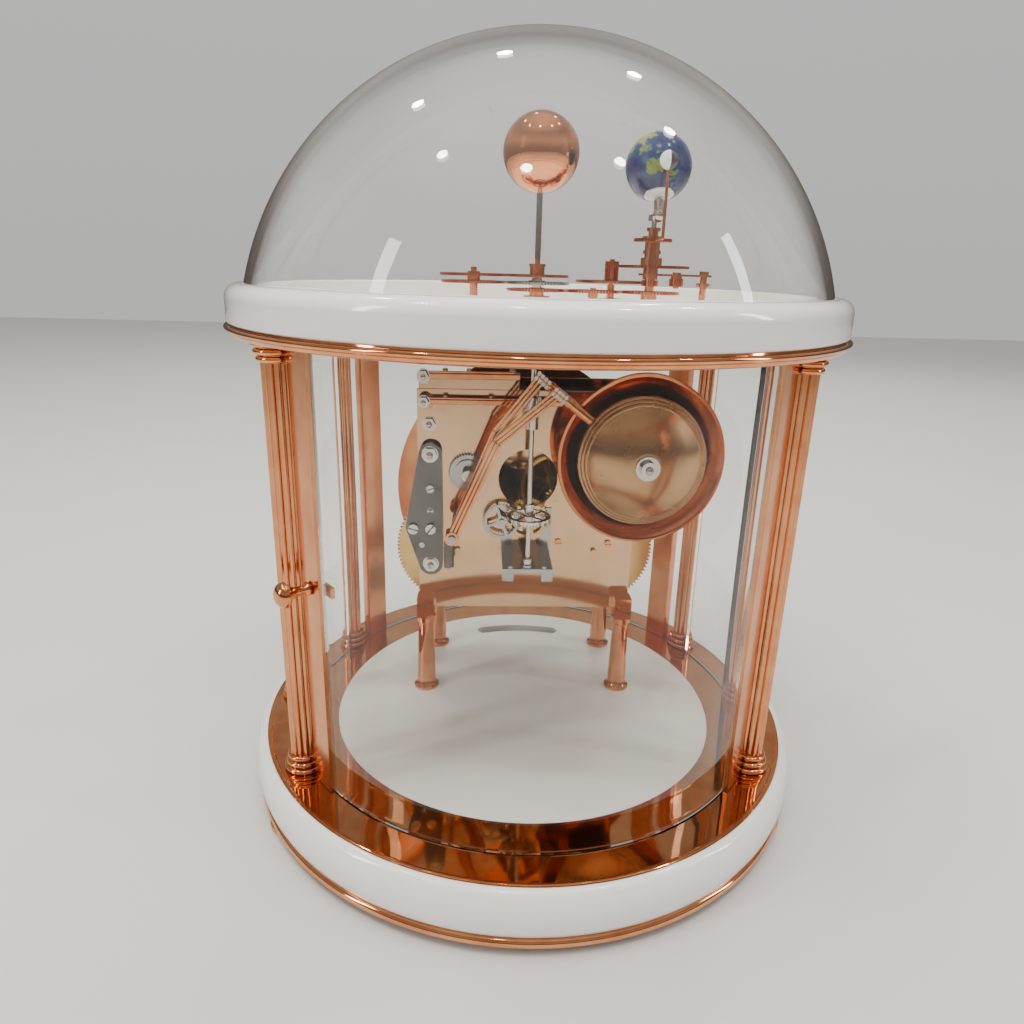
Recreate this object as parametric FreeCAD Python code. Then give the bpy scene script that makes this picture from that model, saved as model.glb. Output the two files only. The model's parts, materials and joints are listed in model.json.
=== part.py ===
"""Domed table orrery: a round four-glass clock whose movement drives a sun, earth and moon model.

Millimetres, +Z up. The origin is on the surface that the feet rest on, below the middle of the case.
The rear door, with the bells behind it, faces -Y and the dial faces +Y. Plan angles are measured from
the rear (-Y) and are positive towards +X.
"""
import FreeCAD, Part
import math
import os

V = FreeCAD.Vector
UP = V(0, 0, 1)
ORIGIN = V(0, 0, 0)
os.makedirs("parts", exist_ok=True)

# ---- clearances ------------------------------------------------------------------------------
RUN = 0.05            # radial clearance of a shaft in its bore
GAP = 0.3             # clearance between pieces that move past each other
SEAT = 0.15           # clearance of a loose glass or cover in its seat

# ---- case, from the floor up -------------------------------------------------------------------
FOOT_H = 3.6
FOOT_R = 11.0
FOOT_PCR = 133.0
FOOT_ANGLES = (-60, 60, 120, -120)
BEAD_H = 4.6
BEAD_R = 141.5
BASE_H = 22.8
BASE_R = 144.8        # widest part of the white base
BASE_TOP_R = 139.4
BASE_BOTTOM_R = 140.6
BASE_WALL = 16.0
PLATE_T = 3.0
PLATE_R = 138.6
FLOOR_DISC_R = 101.6
FLOOR_DISC_T = 4.0
SLOT_R = 82.0         # curved slot in the floor disc
SLOT_W = 8.0
SLOT_HALF_ANGLE = 16.0

PLATE_TOP = FOOT_H + BEAD_H + BASE_H
FLOOR_TOP = PLATE_TOP

COLUMN_ANGLES = (-120, -90, -60, 60, 90, 120)
COLUMN_PCR = 125.3
COLUMN_R = 6.2
COLUMN_H = 201.7      # from the base plate to the underside of the cornice
FLUTES = 12
FLUTE_R = 0.95
RING_R = 9.6          # column base and capital rings
RING_H = 3.0

CORNICE_Z = PLATE_TOP + COLUMN_H
CORNICE_H = 5.0
CORNICE_R = 141.5
UPPER_H = 15.8
UPPER_R = 140.2
UPPER_ROUND = 6.0
RECESS_R = 126.5
UPPER_Z = CORNICE_Z + CORNICE_H
UPPER_TOP = UPPER_Z + UPPER_H

DOME_FOOT_R = 132.4
DOME_H = 105.5
DOME_T = 3.0
DOME_SEAT_DEPTH = 1.8
DOME_Z = UPPER_TOP - DOME_SEAT_DEPTH

SKY_T = 1.8
SKY_TOP = UPPER_Z + SKY_T   # floor of the recess, under the wheels of the orrery

# ---- glass and doors ---------------------------------------------------------------------------
GLASS_R = 122.9
GLASS_T = 3.5
GLASS_BEVEL_W = 1.4
GLASS_BEVEL_H = 7.0
GLASS_Z0 = PLATE_TOP + GAP
GLASS_Z1 = CORNICE_Z - GAP
PANE_HALF_ANGLE = 47.7
STILE_END_ANGLE = 54.6
STILE_OUT = 1.6       # how far a stile stands out past the glass
STILE_EDGE = 0.4
HINGE_ANGLE = 53.6
HINGE_R = 121.6
HINGE_PIN_R = 1.1
HINGE_PIN_L = 2.2
KNOB_ANGLE = -51.4
KNOB_Z = PLATE_TOP + 100.0
KNOB_R = 5.6
KNOB_SHAFT_R = 1.9
KNOB_REACH = 15.0
LATCH_L = 11.0
LATCH_T = 1.8
LATCH_H = 5.2

# ---- movement ----------------------------------------------------------------------------------
MODULE = 0.5          # of the fine wheels
BARREL_MODULE = 0.7
MOVE_W = 119.0
MOVE_H = 122.0
MOVE_Z = PLATE_TOP + 47.0         # bottom edge of the movement plates
MOVE_T = 2.5
REAR_Y = 17.0         # rear face of the rear plate
PLATE_SPACE = 36.0
FRONT_Y = REAR_Y + MOVE_T + PLATE_SPACE
MOVE_TOP = MOVE_Z + MOVE_H
PILLAR_R = 3.2
PILLAR_PLACES = ((-53.2, MOVE_Z + 115.5), (53.2, MOVE_Z + 115.5), (0.0, MOVE_Z + 7.5))
PLATE_SCREWS = ((18.0, MOVE_Z + 39.0), (46.0, MOVE_Z + 38.5))
NUT_R = 3.6
NUT_H = 3.2

LEG_REAR_X = 55.5
LEG_FRONT_X = 52.0
LEG_FOOT_R = 7.0
LEG_TOP_R = 4.4
LEG_BLOCK = 9.4
LEG_OVERLAP = 9.0     # height of the leg's block up the movement plate

CENTRE_Z = MOVE_Z + 53.5      # height of the centre arbor, with the hands
CENTRE_PINION = 12
DRIVE_PINION = 16
REAR_WHEEL = 46
TRANSFER_WHEEL = 40
TRANSFER_ANGLE = 184.0
CONTRATE = 44
MINUTE_WHEEL = 36
CANNON = 12
MINUTE_PINION = 10
HOUR_WHEEL = 40
MOTION_ANGLE = 60.0
SECOND_WHEEL = 60
SECOND_PINION = 12
BARREL_TEETH = 96
BARREL_X = 38.0
BARREL_Z = MOVE_Z + 34.0
BARREL_R = 27.0
BARREL_L = 26.0
ARBOR_R = 1.5
CENTRE_ARBOR_R = 1.6
WINDOW_R = 16.0       # round window in the rear plate
WINDOW_Z = MOVE_Z + 75.0
STRIKE_X = -32.7
STRIKE_Z = MOVE_Z + 78.5
STRIKE_TEETH = 40

DIAL_R = 77.0
DIAL_T = 1.6
DIAL_Y = FRONT_Y + MOVE_T + 11.0
HOUR_HAND_L = 42.0
MINUTE_HAND_L = 62.0
HAND_T = 0.9

# ---- striking work -----------------------------------------------------------------------------
COCK_X = -52.6
COCK_Y = 12.0         # front face of the cock towards the rear door
COCK_T = 2.0
COCK_FEET = (MOVE_Z + 88.9, MOVE_Z + 27.8)   # heights of the cock's two nuts
COCK_BULGE_Z = MOVE_Z + 49.0
HAMMER_X = -40.0
HAMMER_Z = MOVE_Z + 51.0
SPRING_X = -42.4
SPRING_Z = MOVE_Z + 28.0
SPRING_Y = 8.0
SPRING_R = 2.3
SPRING_WIRE_R = 0.5
SPRING_TURNS = 14
HAMMER_ARBOR_R = 1.2
HAMMER_ARM_T = 1.3
HAMMER_HEAD_R = 2.6
HAMMER_HEAD_L = 15.0
BELL_X = 56.0
BELL_Z = MOVE_Z + 92.0
BELL_LARGE_R = 43.0
BELL_SMALL_R = 33.0
BELL_T = 1.6
BELL_FLAT_R = 7.0     # flat crown round the post
BELL_LARGE_DEPTH = 17.0
BELL_SMALL_DEPTH = 13.0
BELL_LARGE_Y = -6.0   # plane of the large bell's rim
BELL_SMALL_Y = -8.0   # plane of the small bell's rim
BELL_POST_R = 3.0
HAMMER_LARGE_Y = -6.2
HAMMER_SMALL_Y = -11.7
STRIKE_SIDE = (-0.8, 0.6)   # direction from the bells to the hammer heads
STRIKE_GAP = 0.9      # from a hammer head at rest to its bell
HAMMER_STRIP = 0.75   # half width of one strip of a hammer arm
HAMMER_SPREAD = 1.5   # half the distance between the two strips

# ---- vertical drive ----------------------------------------------------------------------------
SHAFT_R = 1.25
CONTRATE_R = CONTRATE * MODULE / 2 + 0.6
CONTRATE_W = 2.2
CONTRATE_DEPTH = 1.5  # height of its teeth
CONTRATE_Z = CENTRE_Z + DRIVE_PINION * MODULE / 2
SHELF_Z = MOVE_Z + 32.0       # top of the bracket's shelf
SHELF_W = 27.0
SHELF_T = 2.4
SHELF_Y = -5.0
COUPLING_Z = MOVE_Z + 115.0
GEARBOX_R = 30.0
GEARBOX_H = 16.0
GEARBOX_FLOOR = 6.0   # height of the seat of the sun post inside the gearbox

# ---- orrery ------------------------------------------------------------------------------------
ARM_Z = SKY_TOP + 5.9         # underside of the year arm
ARM_T = 1.4
ARM_W = 9.0
SUN_R = 17.3
SUN_Z = ARM_Z + 66.6
SUN_ROD_R = 1.25
POST_R = 2.4          # fixed post round the sun's rod
DAY_TUBE_R = 3.6
ARM_TUBE_R = 5.0
KEEPER_Z = SKY_TOP + 2.1      # wheels that keep the earth's axis parallel, under the arm
KEEPER_TEETH = 56
KEEPER_IDLER = 52
WHEEL_T = 1.2
LEVEL_A = ARM_Z + 6.4       # day wheel, idler and earth wheel
LEVEL_B = ARM_Z + 9.5       # fixed wheel on the post, and the lower compound wheel
LEVEL_C = ARM_Z + 12.8       # wheel of the sun, and the upper compound wheel
LEVEL_E = ARM_Z + 10.8       # moon reducer's wheel
LEVEL_F = ARM_Z + 18.2       # moon wheel
DAY_TEETH = 56
IDLER_TEETH = 52
FIXED_TEETH = 60
COMPOUND_LOW = 60
SUN_TEETH = 58
COMPOUND_HIGH = 62
EARTH_PINION = 14
REDUCER_TEETH = 68
REDUCER_PINION = 12
MOON_TEETH = 70
COMPOUND_X = -MODULE * (FIXED_TEETH + COMPOUND_LOW) / 2
IDLER_X = MODULE * (DAY_TEETH + IDLER_TEETH) / 2
EARTH_X = 2 * IDLER_X
REDUCER_REACH = MODULE * (EARTH_PINION + REDUCER_TEETH) / 2
REDUCER_ANGLE = 144.0  # direction of the moon reducer from the earth post
REDUCER_X = EARTH_X + REDUCER_REACH * math.cos(math.radians(REDUCER_ANGLE))
REDUCER_Y = REDUCER_REACH * math.sin(math.radians(REDUCER_ANGLE))
STUD_R = 1.2
BRIDGE_Z = ARM_Z + 3.8      # top of the bridge that carries the moon reducer
END_POST_X = EARTH_X + 26.0
LINK_Z = ARM_Z + 14.8
HANG_X = EARTH_X + 12.8
EARTH_R = 15.0
EARTH_Z = ARM_Z + 62.2
EARTH_TILT = 23.5
EARTH_ROD_R = 1.2
EARTH_TUBE_R = 2.3
MOON_TUBE_R = 3.5
MOON_WHEEL_Z = ARM_Z + 30.0
MOON_R = 4.0
MOON_ARM = 19.8       # moon ball's distance from the earth post
MOON_Z = EARTH_Z + 0.4


# ---- helpers -----------------------------------------------------------------------------------
def save(name, shape):
    """Write one node."""
    shape.exportStep("parts/%s.step" % name)


def cyl(r, z0, z1, x=0.0, y=0.0):
    """Upright cylinder."""
    return Part.makeCylinder(r, z1 - z0, V(x, y, z0))


def tube(r_out, r_in, z0, z1, x=0.0, y=0.0):
    """Upright tube."""
    return cyl(r_out, z0, z1, x, y).cut(cyl(r_in, z0 - 1, z1 + 1, x, y))


def rod_y(r, y0, y1, x, z):
    """Cylinder along Y."""
    return Part.makeCylinder(r, y1 - y0, V(x, y0, z), V(0, 1, 0))


def tube_y(r_out, r_in, y0, y1, x, z):
    """Tube along Y."""
    return rod_y(r_out, y0, y1, x, z).cut(rod_y(r_in, y0 - 1, y1 + 1, x, z))


def box(x0, x1, y0, y1, z0, z1):
    """Box between two corners."""
    return Part.makeBox(x1 - x0, y1 - y0, z1 - z0, V(x0, y0, z0))


def at(r, angle, z=0.0):
    """Point at a radius and a plan angle from the rear."""
    a = math.radians(angle)
    return V(r * math.sin(a), -r * math.cos(a), z)


def bar(p, q, r):
    """Round bar between two points."""
    return Part.makeCylinder(r, p.distanceToPoint(q), p, q.sub(p))


def outline(points):
    """Closed wire in the XZ plane; a middle point given as ('arc', x, z) bends the edge round it."""
    edges = []
    start = V(points[0][0], 0, points[0][1])
    here = start
    via = None
    for item in points[1:] + [points[0]]:
        if item[0] == "arc":
            via = V(item[1], 0, item[2])
            continue
        there = V(item[0], 0, item[1])
        edges.append(Part.Arc(here, via, there).toShape() if via else Part.makeLine(here, there))
        here, via = there, None
    return Part.Wire(edges)


def spin(points, angle=360.0, start=0.0):
    """Solid of revolution about Z of an outline of (radius, height), from a plan angle."""
    face = Part.Face(outline(points))
    solid = face.revolve(ORIGIN, UP, angle)
    solid.rotate(ORIGIN, UP, start - 90.0)
    return solid


def face_rear(shape, x, y, z):
    """Turn a shape built flat on XY so that its +Z points to the rear, and place it."""
    shape = shape.copy()
    shape.rotate(ORIGIN, V(1, 0, 0), 90)
    shape.translate(V(x, y, z))
    return shape


def tooth_profile(teeth, module, phase):
    """Corners of a spur wheel with straight-flanked teeth; a tooth stands at the phase angle."""
    root = module * (teeth / 2 - 1.15)
    tip = module * (teeth / 2 + 0.85)
    pitch = 2 * math.pi / teeth
    corners = []
    for k in range(teeth):
        middle = math.radians(phase) + k * pitch
        for r, share in ((root, -0.29), (tip, -0.09), (tip, 0.09), (root, 0.29)):
            a = middle + share * pitch
            corners.append(V(r * math.cos(a), r * math.sin(a), 0))
    return corners


def wheel(teeth, thick, module=MODULE, phase=0.0, bore=0.0, spokes=0, hub=0.0):
    """Toothed wheel on XY, from z = 0 up, with windows between its spokes."""
    corners = tooth_profile(teeth, module, phase)
    body = Part.Face(Part.makePolygon(corners + [corners[0]])).extrude(V(0, 0, thick))
    rim = module * (teeth / 2 - 1.15) - max(1.4, 2.2 * module)
    if spokes and rim - hub > 2.0:
        window = tube(rim, hub, -1, thick + 1)
        for k in range(spokes):
            spoke = Part.makeBox(rim + 1, 1.6, thick + 2, V(0, -0.8, -1))
            spoke.rotate(ORIGIN, UP, k * 360.0 / spokes + 20.0)
            window = window.cut(spoke)
        body = body.cut(window)
    if bore:
        body = body.cut(cyl(bore, -1, thick + 1))
    return body


def meshed(line, phase, teeth, other_teeth):
    """Phase of a wheel that meshes with one of a given phase; line is the direction from it."""
    ahead = ((line - phase) * teeth / 360.0) % 1.0
    return line + 180.0 - (0.5 - ahead) * 360.0 / other_teeth


def lift(shape, x, y, z):
    """Copy of a shape, moved."""
    shape = shape.copy()
    shape.translate(V(x, y, z))
    return shape


def joined(shapes):
    """One solid from pieces that meet."""
    solid = shapes[0].fuse(shapes[1:]) if len(shapes) > 1 else shapes[0]
    return solid.removeSplitter()


def meet(a, ra, b, rb, side):
    """Centre at distance ra from a and rb from b, on one side of the line between them."""
    dx, dz = b[0] - a[0], b[1] - a[1]
    d = math.hypot(dx, dz)
    along = (ra * ra - rb * rb + d * d) / (2 * d)
    off = side * math.sqrt(ra * ra - along * along)
    return a[0] + (along * dx - off * dz) / d, a[1] + (along * dz + off * dx) / d


def direction(a, b):
    """Angle in degrees of the line from a to b, in the plane seen from the rear."""
    return math.degrees(math.atan2(b[1] - a[1], b[0] - a[0]))


# ---- base --------------------------------------------------------------------------------------
def make_base():
    feet = []
    for angle in FOOT_ANGLES:
        p = at(FOOT_PCR, angle)
        foot = cyl(FOOT_R, 0, FOOT_H, p.x, p.y)
        feet.append(foot.makeFillet(1.2, [foot.Edges[2]]))
    save("feet", Part.makeCompound(feet))

    z0, z1 = FOOT_H, FOOT_H + BEAD_H
    mid = (z0 + z1) / 2
    inner = FOOT_PCR - FOOT_R - 4
    bead = [(inner, z0), (BEAD_R, z0), ("arc", BEAD_R + BEAD_H / 2, mid), (BEAD_R, z1), (inner, z1)]
    save("base_foot_ring", spin(bead))

    z2 = z1 + BASE_H
    bulge = z1 + 0.42 * BASE_H
    ledge = PLATE_R + SEAT
    body = [(BASE_R - BASE_WALL, z1), (BASE_BOTTOM_R, z1), ("arc", BASE_R, bulge), (BASE_TOP_R, z2),
            (ledge, z2), (ledge, z2 - PLATE_T), (BASE_R - BASE_WALL, z2 - PLATE_T)]
    save("base_body", spin(body))

    plate = tube(PLATE_R, FLOOR_DISC_R + SEAT, PLATE_TOP - PLATE_T, PLATE_TOP)
    rim = tube(PLATE_R - 1.2, PLATE_R - 2.0, PLATE_TOP - 0.5, PLATE_TOP + 1)
    plate = plate.cut(rim)
    under = tube(BASE_R - BASE_WALL - SEAT, FLOOR_DISC_R - 8, PLATE_TOP - PLATE_T - 3, PLATE_TOP - PLATE_T)
    plate = joined([plate, under])
    plate = plate.cut(cyl(FLOOR_DISC_R + SEAT, PLATE_TOP - FLOOR_DISC_T, PLATE_TOP + 1))
    for side in (1, -1):
        hinge = hinge_point(side)
        hole = cyl(HINGE_PIN_R + RUN, PLATE_TOP - HINGE_PIN_L - GAP, PLATE_TOP + 1, hinge.x, hinge.y)
        plate = plate.cut(hole)
    save("base_plate", plate)

    disc = cyl(FLOOR_DISC_R, PLATE_TOP - FLOOR_DISC_T, FLOOR_TOP)
    slot = spin([(SLOT_R - SLOT_W / 2, FLOOR_TOP - 10), (SLOT_R + SLOT_W / 2, FLOOR_TOP - 10),
                 (SLOT_R + SLOT_W / 2, FLOOR_TOP + 1), (SLOT_R - SLOT_W / 2, FLOOR_TOP + 1)],
                2 * SLOT_HALF_ANGLE, 180 - SLOT_HALF_ANGLE)
    for side in (1, -1):
        end = at(SLOT_R, 180 + side * SLOT_HALF_ANGLE)
        slot = slot.fuse(cyl(SLOT_W / 2, FLOOR_TOP - 10, FLOOR_TOP + 1, end.x, end.y))
    save("floor_disc", disc.cut(slot))


# ---- columns and cornice -----------------------------------------------------------------------
def column_ring_stack(z0, upward):
    """Three stacked rings of a column's base, or its capital when they grow downward."""
    step = RING_H if upward else -RING_H
    radii = (RING_R, RING_R - 0.9, RING_R - 1.8)
    rings = []
    z = z0
    for r in radii:
        low, high = min(z, z + step), max(z, z + step)
        waist = r - RING_H / 2
        rings.append(spin([(COLUMN_R - 0.8, low), (waist, low), ("arc", r, (low + high) / 2),
                           (waist, high), (COLUMN_R - 0.8, high)]))
        z += step
    return joined(rings)


def make_columns():
    low = PLATE_TOP + 3 * RING_H
    high = CORNICE_Z - 3 * RING_H
    core = COLUMN_R - 0.8 - SEAT
    shaft = joined([cyl(COLUMN_R, low, high), cyl(core, PLATE_TOP, CORNICE_Z)])
    for k in range(FLUTES):
        a = math.radians(360.0 * k / FLUTES)
        r = COLUMN_R + FLUTE_R * 0.25
        shaft = shaft.cut(cyl(FLUTE_R, low - 1, high + 1, r * math.cos(a), r * math.sin(a)))
    rings = [column_ring_stack(PLATE_TOP, True), column_ring_stack(CORNICE_Z, False)]
    shafts, stacks = [], []
    for angle in COLUMN_ANGLES:
        p = at(COLUMN_PCR, angle)
        shafts.append(lift(shaft, p.x, p.y, 0))
        stacks += [lift(ring, p.x, p.y, 0) for ring in rings]
    save("column_shafts", Part.makeCompound(shafts))
    save("column_rings", Part.makeCompound(stacks))


def make_top():
    z0, z1 = CORNICE_Z, CORNICE_Z + CORNICE_H
    inner = RECESS_R - 12
    cornice = spin([(inner, z0), (CORNICE_R - 4.2, z0), ("arc", CORNICE_R - 2.6, z0 + 0.55),
                    (CORNICE_R - 1.4, z0 + 1.9), (CORNICE_R - 0.8, z0 + 1.9), ("arc", CORNICE_R, z0 + 3.0),
                    (CORNICE_R - 0.8, z0 + 4.1), (CORNICE_R - 3.0, z0 + 4.1), (CORNICE_R - 3.0, z1),
                    (inner, z1)])
    for side in (1, -1):
        hinge = hinge_point(side)
        cornice = cornice.cut(cyl(HINGE_PIN_R + RUN, z0 - 1, z0 + HINGE_PIN_L + GAP, hinge.x, hinge.y))
    save("cornice_ring", cornice)

    top, soft = UPPER_TOP, UPPER_ROUND
    corner = soft * (1 - math.sqrt(0.5))
    wall_in = DOME_FOOT_R - DOME_T - 1.2
    seat_out = DOME_FOOT_R + SEAT
    ring = [(RECESS_R, UPPER_Z), (UPPER_R - 1.0, UPPER_Z), (UPPER_R, UPPER_Z + 1.0), (UPPER_R, top - soft),
            ("arc", UPPER_R - corner, top - corner), (UPPER_R - soft, top), (seat_out, top),
            (seat_out, DOME_Z), (wall_in, DOME_Z), (wall_in, top), (RECESS_R, top)]
    save("upper_ring", spin(ring))

    sphere_r = (DOME_FOOT_R ** 2 + DOME_H ** 2) / (2 * DOME_H)
    centre_z = DOME_Z + DOME_H - sphere_r
    outer = Part.makeSphere(sphere_r, V(0, 0, centre_z))
    inner_ball = Part.makeSphere(sphere_r - DOME_T, V(0, 0, centre_z))
    keep = cyl(sphere_r + 5, DOME_Z, DOME_Z + DOME_H + 5)
    save("glass_dome", outer.cut(inner_ball).common(keep))

    sky = cyl(RECESS_R - SEAT, SKY_TOP - SKY_T, SKY_TOP)
    sky = sky.cut(cyl(ARM_TUBE_R + RUN, SKY_TOP - SKY_T - 1, SKY_TOP + 1))
    keeper = lift(wheel(KEEPER_TEETH, WHEEL_T, bore=ARM_TUBE_R + RUN), 0, 0, KEEPER_Z)
    collar = tube(ARM_TUBE_R + 3, ARM_TUBE_R + RUN, SKY_TOP, KEEPER_Z)
    save("sky_plate", joined([sky, collar, keeper]))


# ---- glass and doors ---------------------------------------------------------------------------
def curved_pane(a0, a1):
    """Curved pane between two plan angles, bevelled along its lower and upper edges."""
    r0, r1 = GLASS_R - GLASS_T, GLASS_R
    w, h = GLASS_BEVEL_W, GLASS_BEVEL_H
    return spin([(r0, GLASS_Z0), (r1 - w, GLASS_Z0), (r1, GLASS_Z0 + h), (r1, GLASS_Z1 - h),
                 (r1 - w, GLASS_Z1), (r0, GLASS_Z1)], a1 - a0, a0)


def column_space(angle):
    """Room that a pane leaves round a column and its rings."""
    p = at(COLUMN_PCR, angle)
    high = 3 * RING_H + GAP
    space = cyl(COLUMN_R + SEAT, PLATE_TOP, CORNICE_Z, p.x, p.y)
    low_ring = cyl(RING_R + SEAT, PLATE_TOP, PLATE_TOP + high, p.x, p.y)
    top_ring = cyl(RING_R + SEAT, CORNICE_Z - high, CORNICE_Z, p.x, p.y)
    return space.fuse([low_ring, top_ring])


def make_side_panes():
    panes = []
    for a0, a1 in ((-120, -90), (-90, -60), (60, 90), (90, 120)):
        pane = curved_pane(a0 + 2.2, a1 - 2.2)
        for angle in (a0, a1):
            pane = pane.cut(column_space(angle))
        panes.append(pane)
    save("side_panes", Part.makeCompound(panes))


def hinge_point(side):
    """Hinge axis of the rear door (side 1) or the front door (side -1)."""
    p = at(HINGE_R, HINGE_ANGLE)
    return V(side * p.x, side * p.y, 0)


def make_door(name, side):
    """Glazed door: curved pane, two stiles, and the knob that turns its latch."""
    turn = 0 if side == 1 else 180
    glass = curved_pane(-PANE_HALF_ANGLE, PANE_HALF_ANGLE)
    r0, r1, e = GLASS_R - GLASS_T, GLASS_R + STILE_OUT, STILE_EDGE
    section = [(r0, GLASS_Z0), (r1 - e, GLASS_Z0), (r1, GLASS_Z0 + e), (r1, GLASS_Z1 - e),
               (r1 - e, GLASS_Z1), (r0, GLASS_Z1)]
    width = STILE_END_ANGLE - PANE_HALF_ANGLE
    stiles = [spin(section, width, PANE_HALF_ANGLE), spin(section, width, -STILE_END_ANGLE)]
    pin = hinge_point(1)
    for z0, z1 in ((GLASS_Z0 - HINGE_PIN_L, GLASS_Z0), (GLASS_Z1, GLASS_Z1 + HINGE_PIN_L)):
        stiles[0] = stiles[0].fuse(cyl(HINGE_PIN_R, z0, z1, pin.x, pin.y))
    inner = at(r0 - 4, KNOB_ANGLE, KNOB_Z)
    outer = at(r1 + KNOB_REACH, KNOB_ANGLE, KNOB_Z)
    stiles[1] = stiles[1].cut(bar(inner, outer, KNOB_SHAFT_R + RUN))

    neck = r1 - r0 + 3.4
    knob = spin([(0, 0), (KNOB_SHAFT_R, 0), (KNOB_SHAFT_R, neck), (KNOB_SHAFT_R + 1.2, neck),
                 (KNOB_SHAFT_R + 1.2, neck + 1.2), (KNOB_SHAFT_R, neck + 2.0), (KNOB_SHAFT_R, neck + 8.0),
                 (KNOB_R, neck + 11.0), (KNOB_R * 0.94, neck + 12.6), (KNOB_R * 0.7, neck + 13.9),
                 (KNOB_R * 0.3, neck + KNOB_REACH - 0.4), (0, neck + KNOB_REACH - 0.4)])
    knob.rotate(ORIGIN, V(1, 0, 0), 90)
    latch = box(-LATCH_L, KNOB_SHAFT_R + 1.1, -0.2 - LATCH_T, -0.2, -LATCH_H / 2, LATCH_H / 2)
    knob = joined([knob, latch])
    knob.translate(V(0, -(r0 - 3), KNOB_Z))
    knob.rotate(ORIGIN, UP, KNOB_ANGLE)

    for part, shape in (("glass", glass), ("stiles", Part.makeCompound(stiles)), ("knob", knob)):
        shape.rotate(ORIGIN, UP, turn)
        save("%s_door_%s" % (name, part), shape)


# ---- movement frame ----------------------------------------------------------------------------
def train_places():
    """Centres of the arbors, as (x, z), and wheel phases that put every pair in mesh at rest."""
    centre = (0.0, CENTRE_Z)
    barrel = (BARREL_X, BARREL_Z)
    to_barrel = BARREL_MODULE * (BARREL_TEETH + SECOND_PINION) / 2
    to_centre = MODULE * (SECOND_WHEEL + CENTRE_PINION) / 2
    second = meet(centre, to_centre, barrel, to_barrel, 1)
    reach = MODULE * (DRIVE_PINION + TRANSFER_WHEEL) / 2
    a = math.radians(TRANSFER_ANGLE)
    transfer = (centre[0] + reach * math.cos(a), centre[1] + reach * math.sin(a))
    reach = MODULE * (CANNON + MINUTE_WHEEL) / 2
    a = math.radians(MOTION_ANGLE)
    minute = (centre[0] + reach * math.cos(a), centre[1] + reach * math.sin(a))
    return centre, barrel, second, transfer, minute


def hex_nut(way):
    """Hexagon nut with its screw end, pointing along +Y or -Y from its seat."""
    corners = [V(NUT_R * math.cos(k * math.pi / 3), 0, NUT_R * math.sin(k * math.pi / 3)) for k in range(7)]
    nut = Part.Face(Part.makePolygon(corners)).extrude(V(0, way * NUT_H, 0))
    tip = rod_y(1.5, min(0, way * (NUT_H + 0.6)), max(0, way * (NUT_H + 0.6)), 0, 0)
    return joined([nut, tip])


def slotted(r, y, x, z):
    """Slotted screw head that stands out to the rear from a face."""
    head = rod_y(r, y - 1.3, y, x, z)
    return head.cut(box(x - r, x + r, y - 1.4, y - 0.8, z - 0.35, z + 0.35))


def make_plates():
    centre, barrel, second, transfer, minute = train_places()
    x0, x1 = -MOVE_W / 2, MOVE_W / 2
    rear = box(x0, x1, REAR_Y, REAR_Y + MOVE_T, MOVE_Z, MOVE_TOP)
    front = box(x0, x1, FRONT_Y, FRONT_Y + MOVE_T, MOVE_Z, MOVE_TOP)
    rear = rear.cut(rod_y(WINDOW_R, REAR_Y - 1, FRONT_Y - 5, 0, WINDOW_Z))
    bores = [(centre, CENTRE_ARBOR_R), (barrel, ARBOR_R), ((-BARREL_X, BARREL_Z), ARBOR_R),
             (second, ARBOR_R), ((STRIKE_X, STRIKE_Z), ARBOR_R)]
    for (x, z), r in bores:
        rear = rear.cut(rod_y(r + RUN, REAR_Y - 1, FRONT_Y - 5, x, z))
        front = front.cut(rod_y(r + RUN, FRONT_Y - 1, FRONT_Y + 9, x, z))
    for x, z, r in ((transfer[0], transfer[1], ARBOR_R), (HAMMER_X, HAMMER_Z, HAMMER_ARBOR_R)):
        rear = rear.cut(rod_y(r + RUN, REAR_Y - 1, REAR_Y + MOVE_T + 1, x, z))
    front = front.cut(rod_y(ARBOR_R + RUN, FRONT_Y - 1, FRONT_Y + MOVE_T + 1, minute[0], minute[1]))
    save("rear_plate", rear)
    save("front_plate", front)

    pillars = []
    y0, y1 = REAR_Y + MOVE_T, FRONT_Y
    for x, z in PILLAR_PLACES:
        pillars.append(joined([rod_y(PILLAR_R, y0, y1, x, z), rod_y(PILLAR_R + 1.2, y0, y0 + 2, x, z),
                               rod_y(PILLAR_R + 1.2, y1 - 2, y1, x, z)]))
        pillars.append(lift(hex_nut(1), x, y1 + MOVE_T, z))
        if z > CENTRE_Z:
            pillars.append(lift(hex_nut(-1), x, REAR_Y, z))
    for x, z in PLATE_SCREWS:
        pillars.append(slotted(2.0, REAR_Y, x, z))
    save("plate_pillars", Part.makeCompound(pillars))


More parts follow.
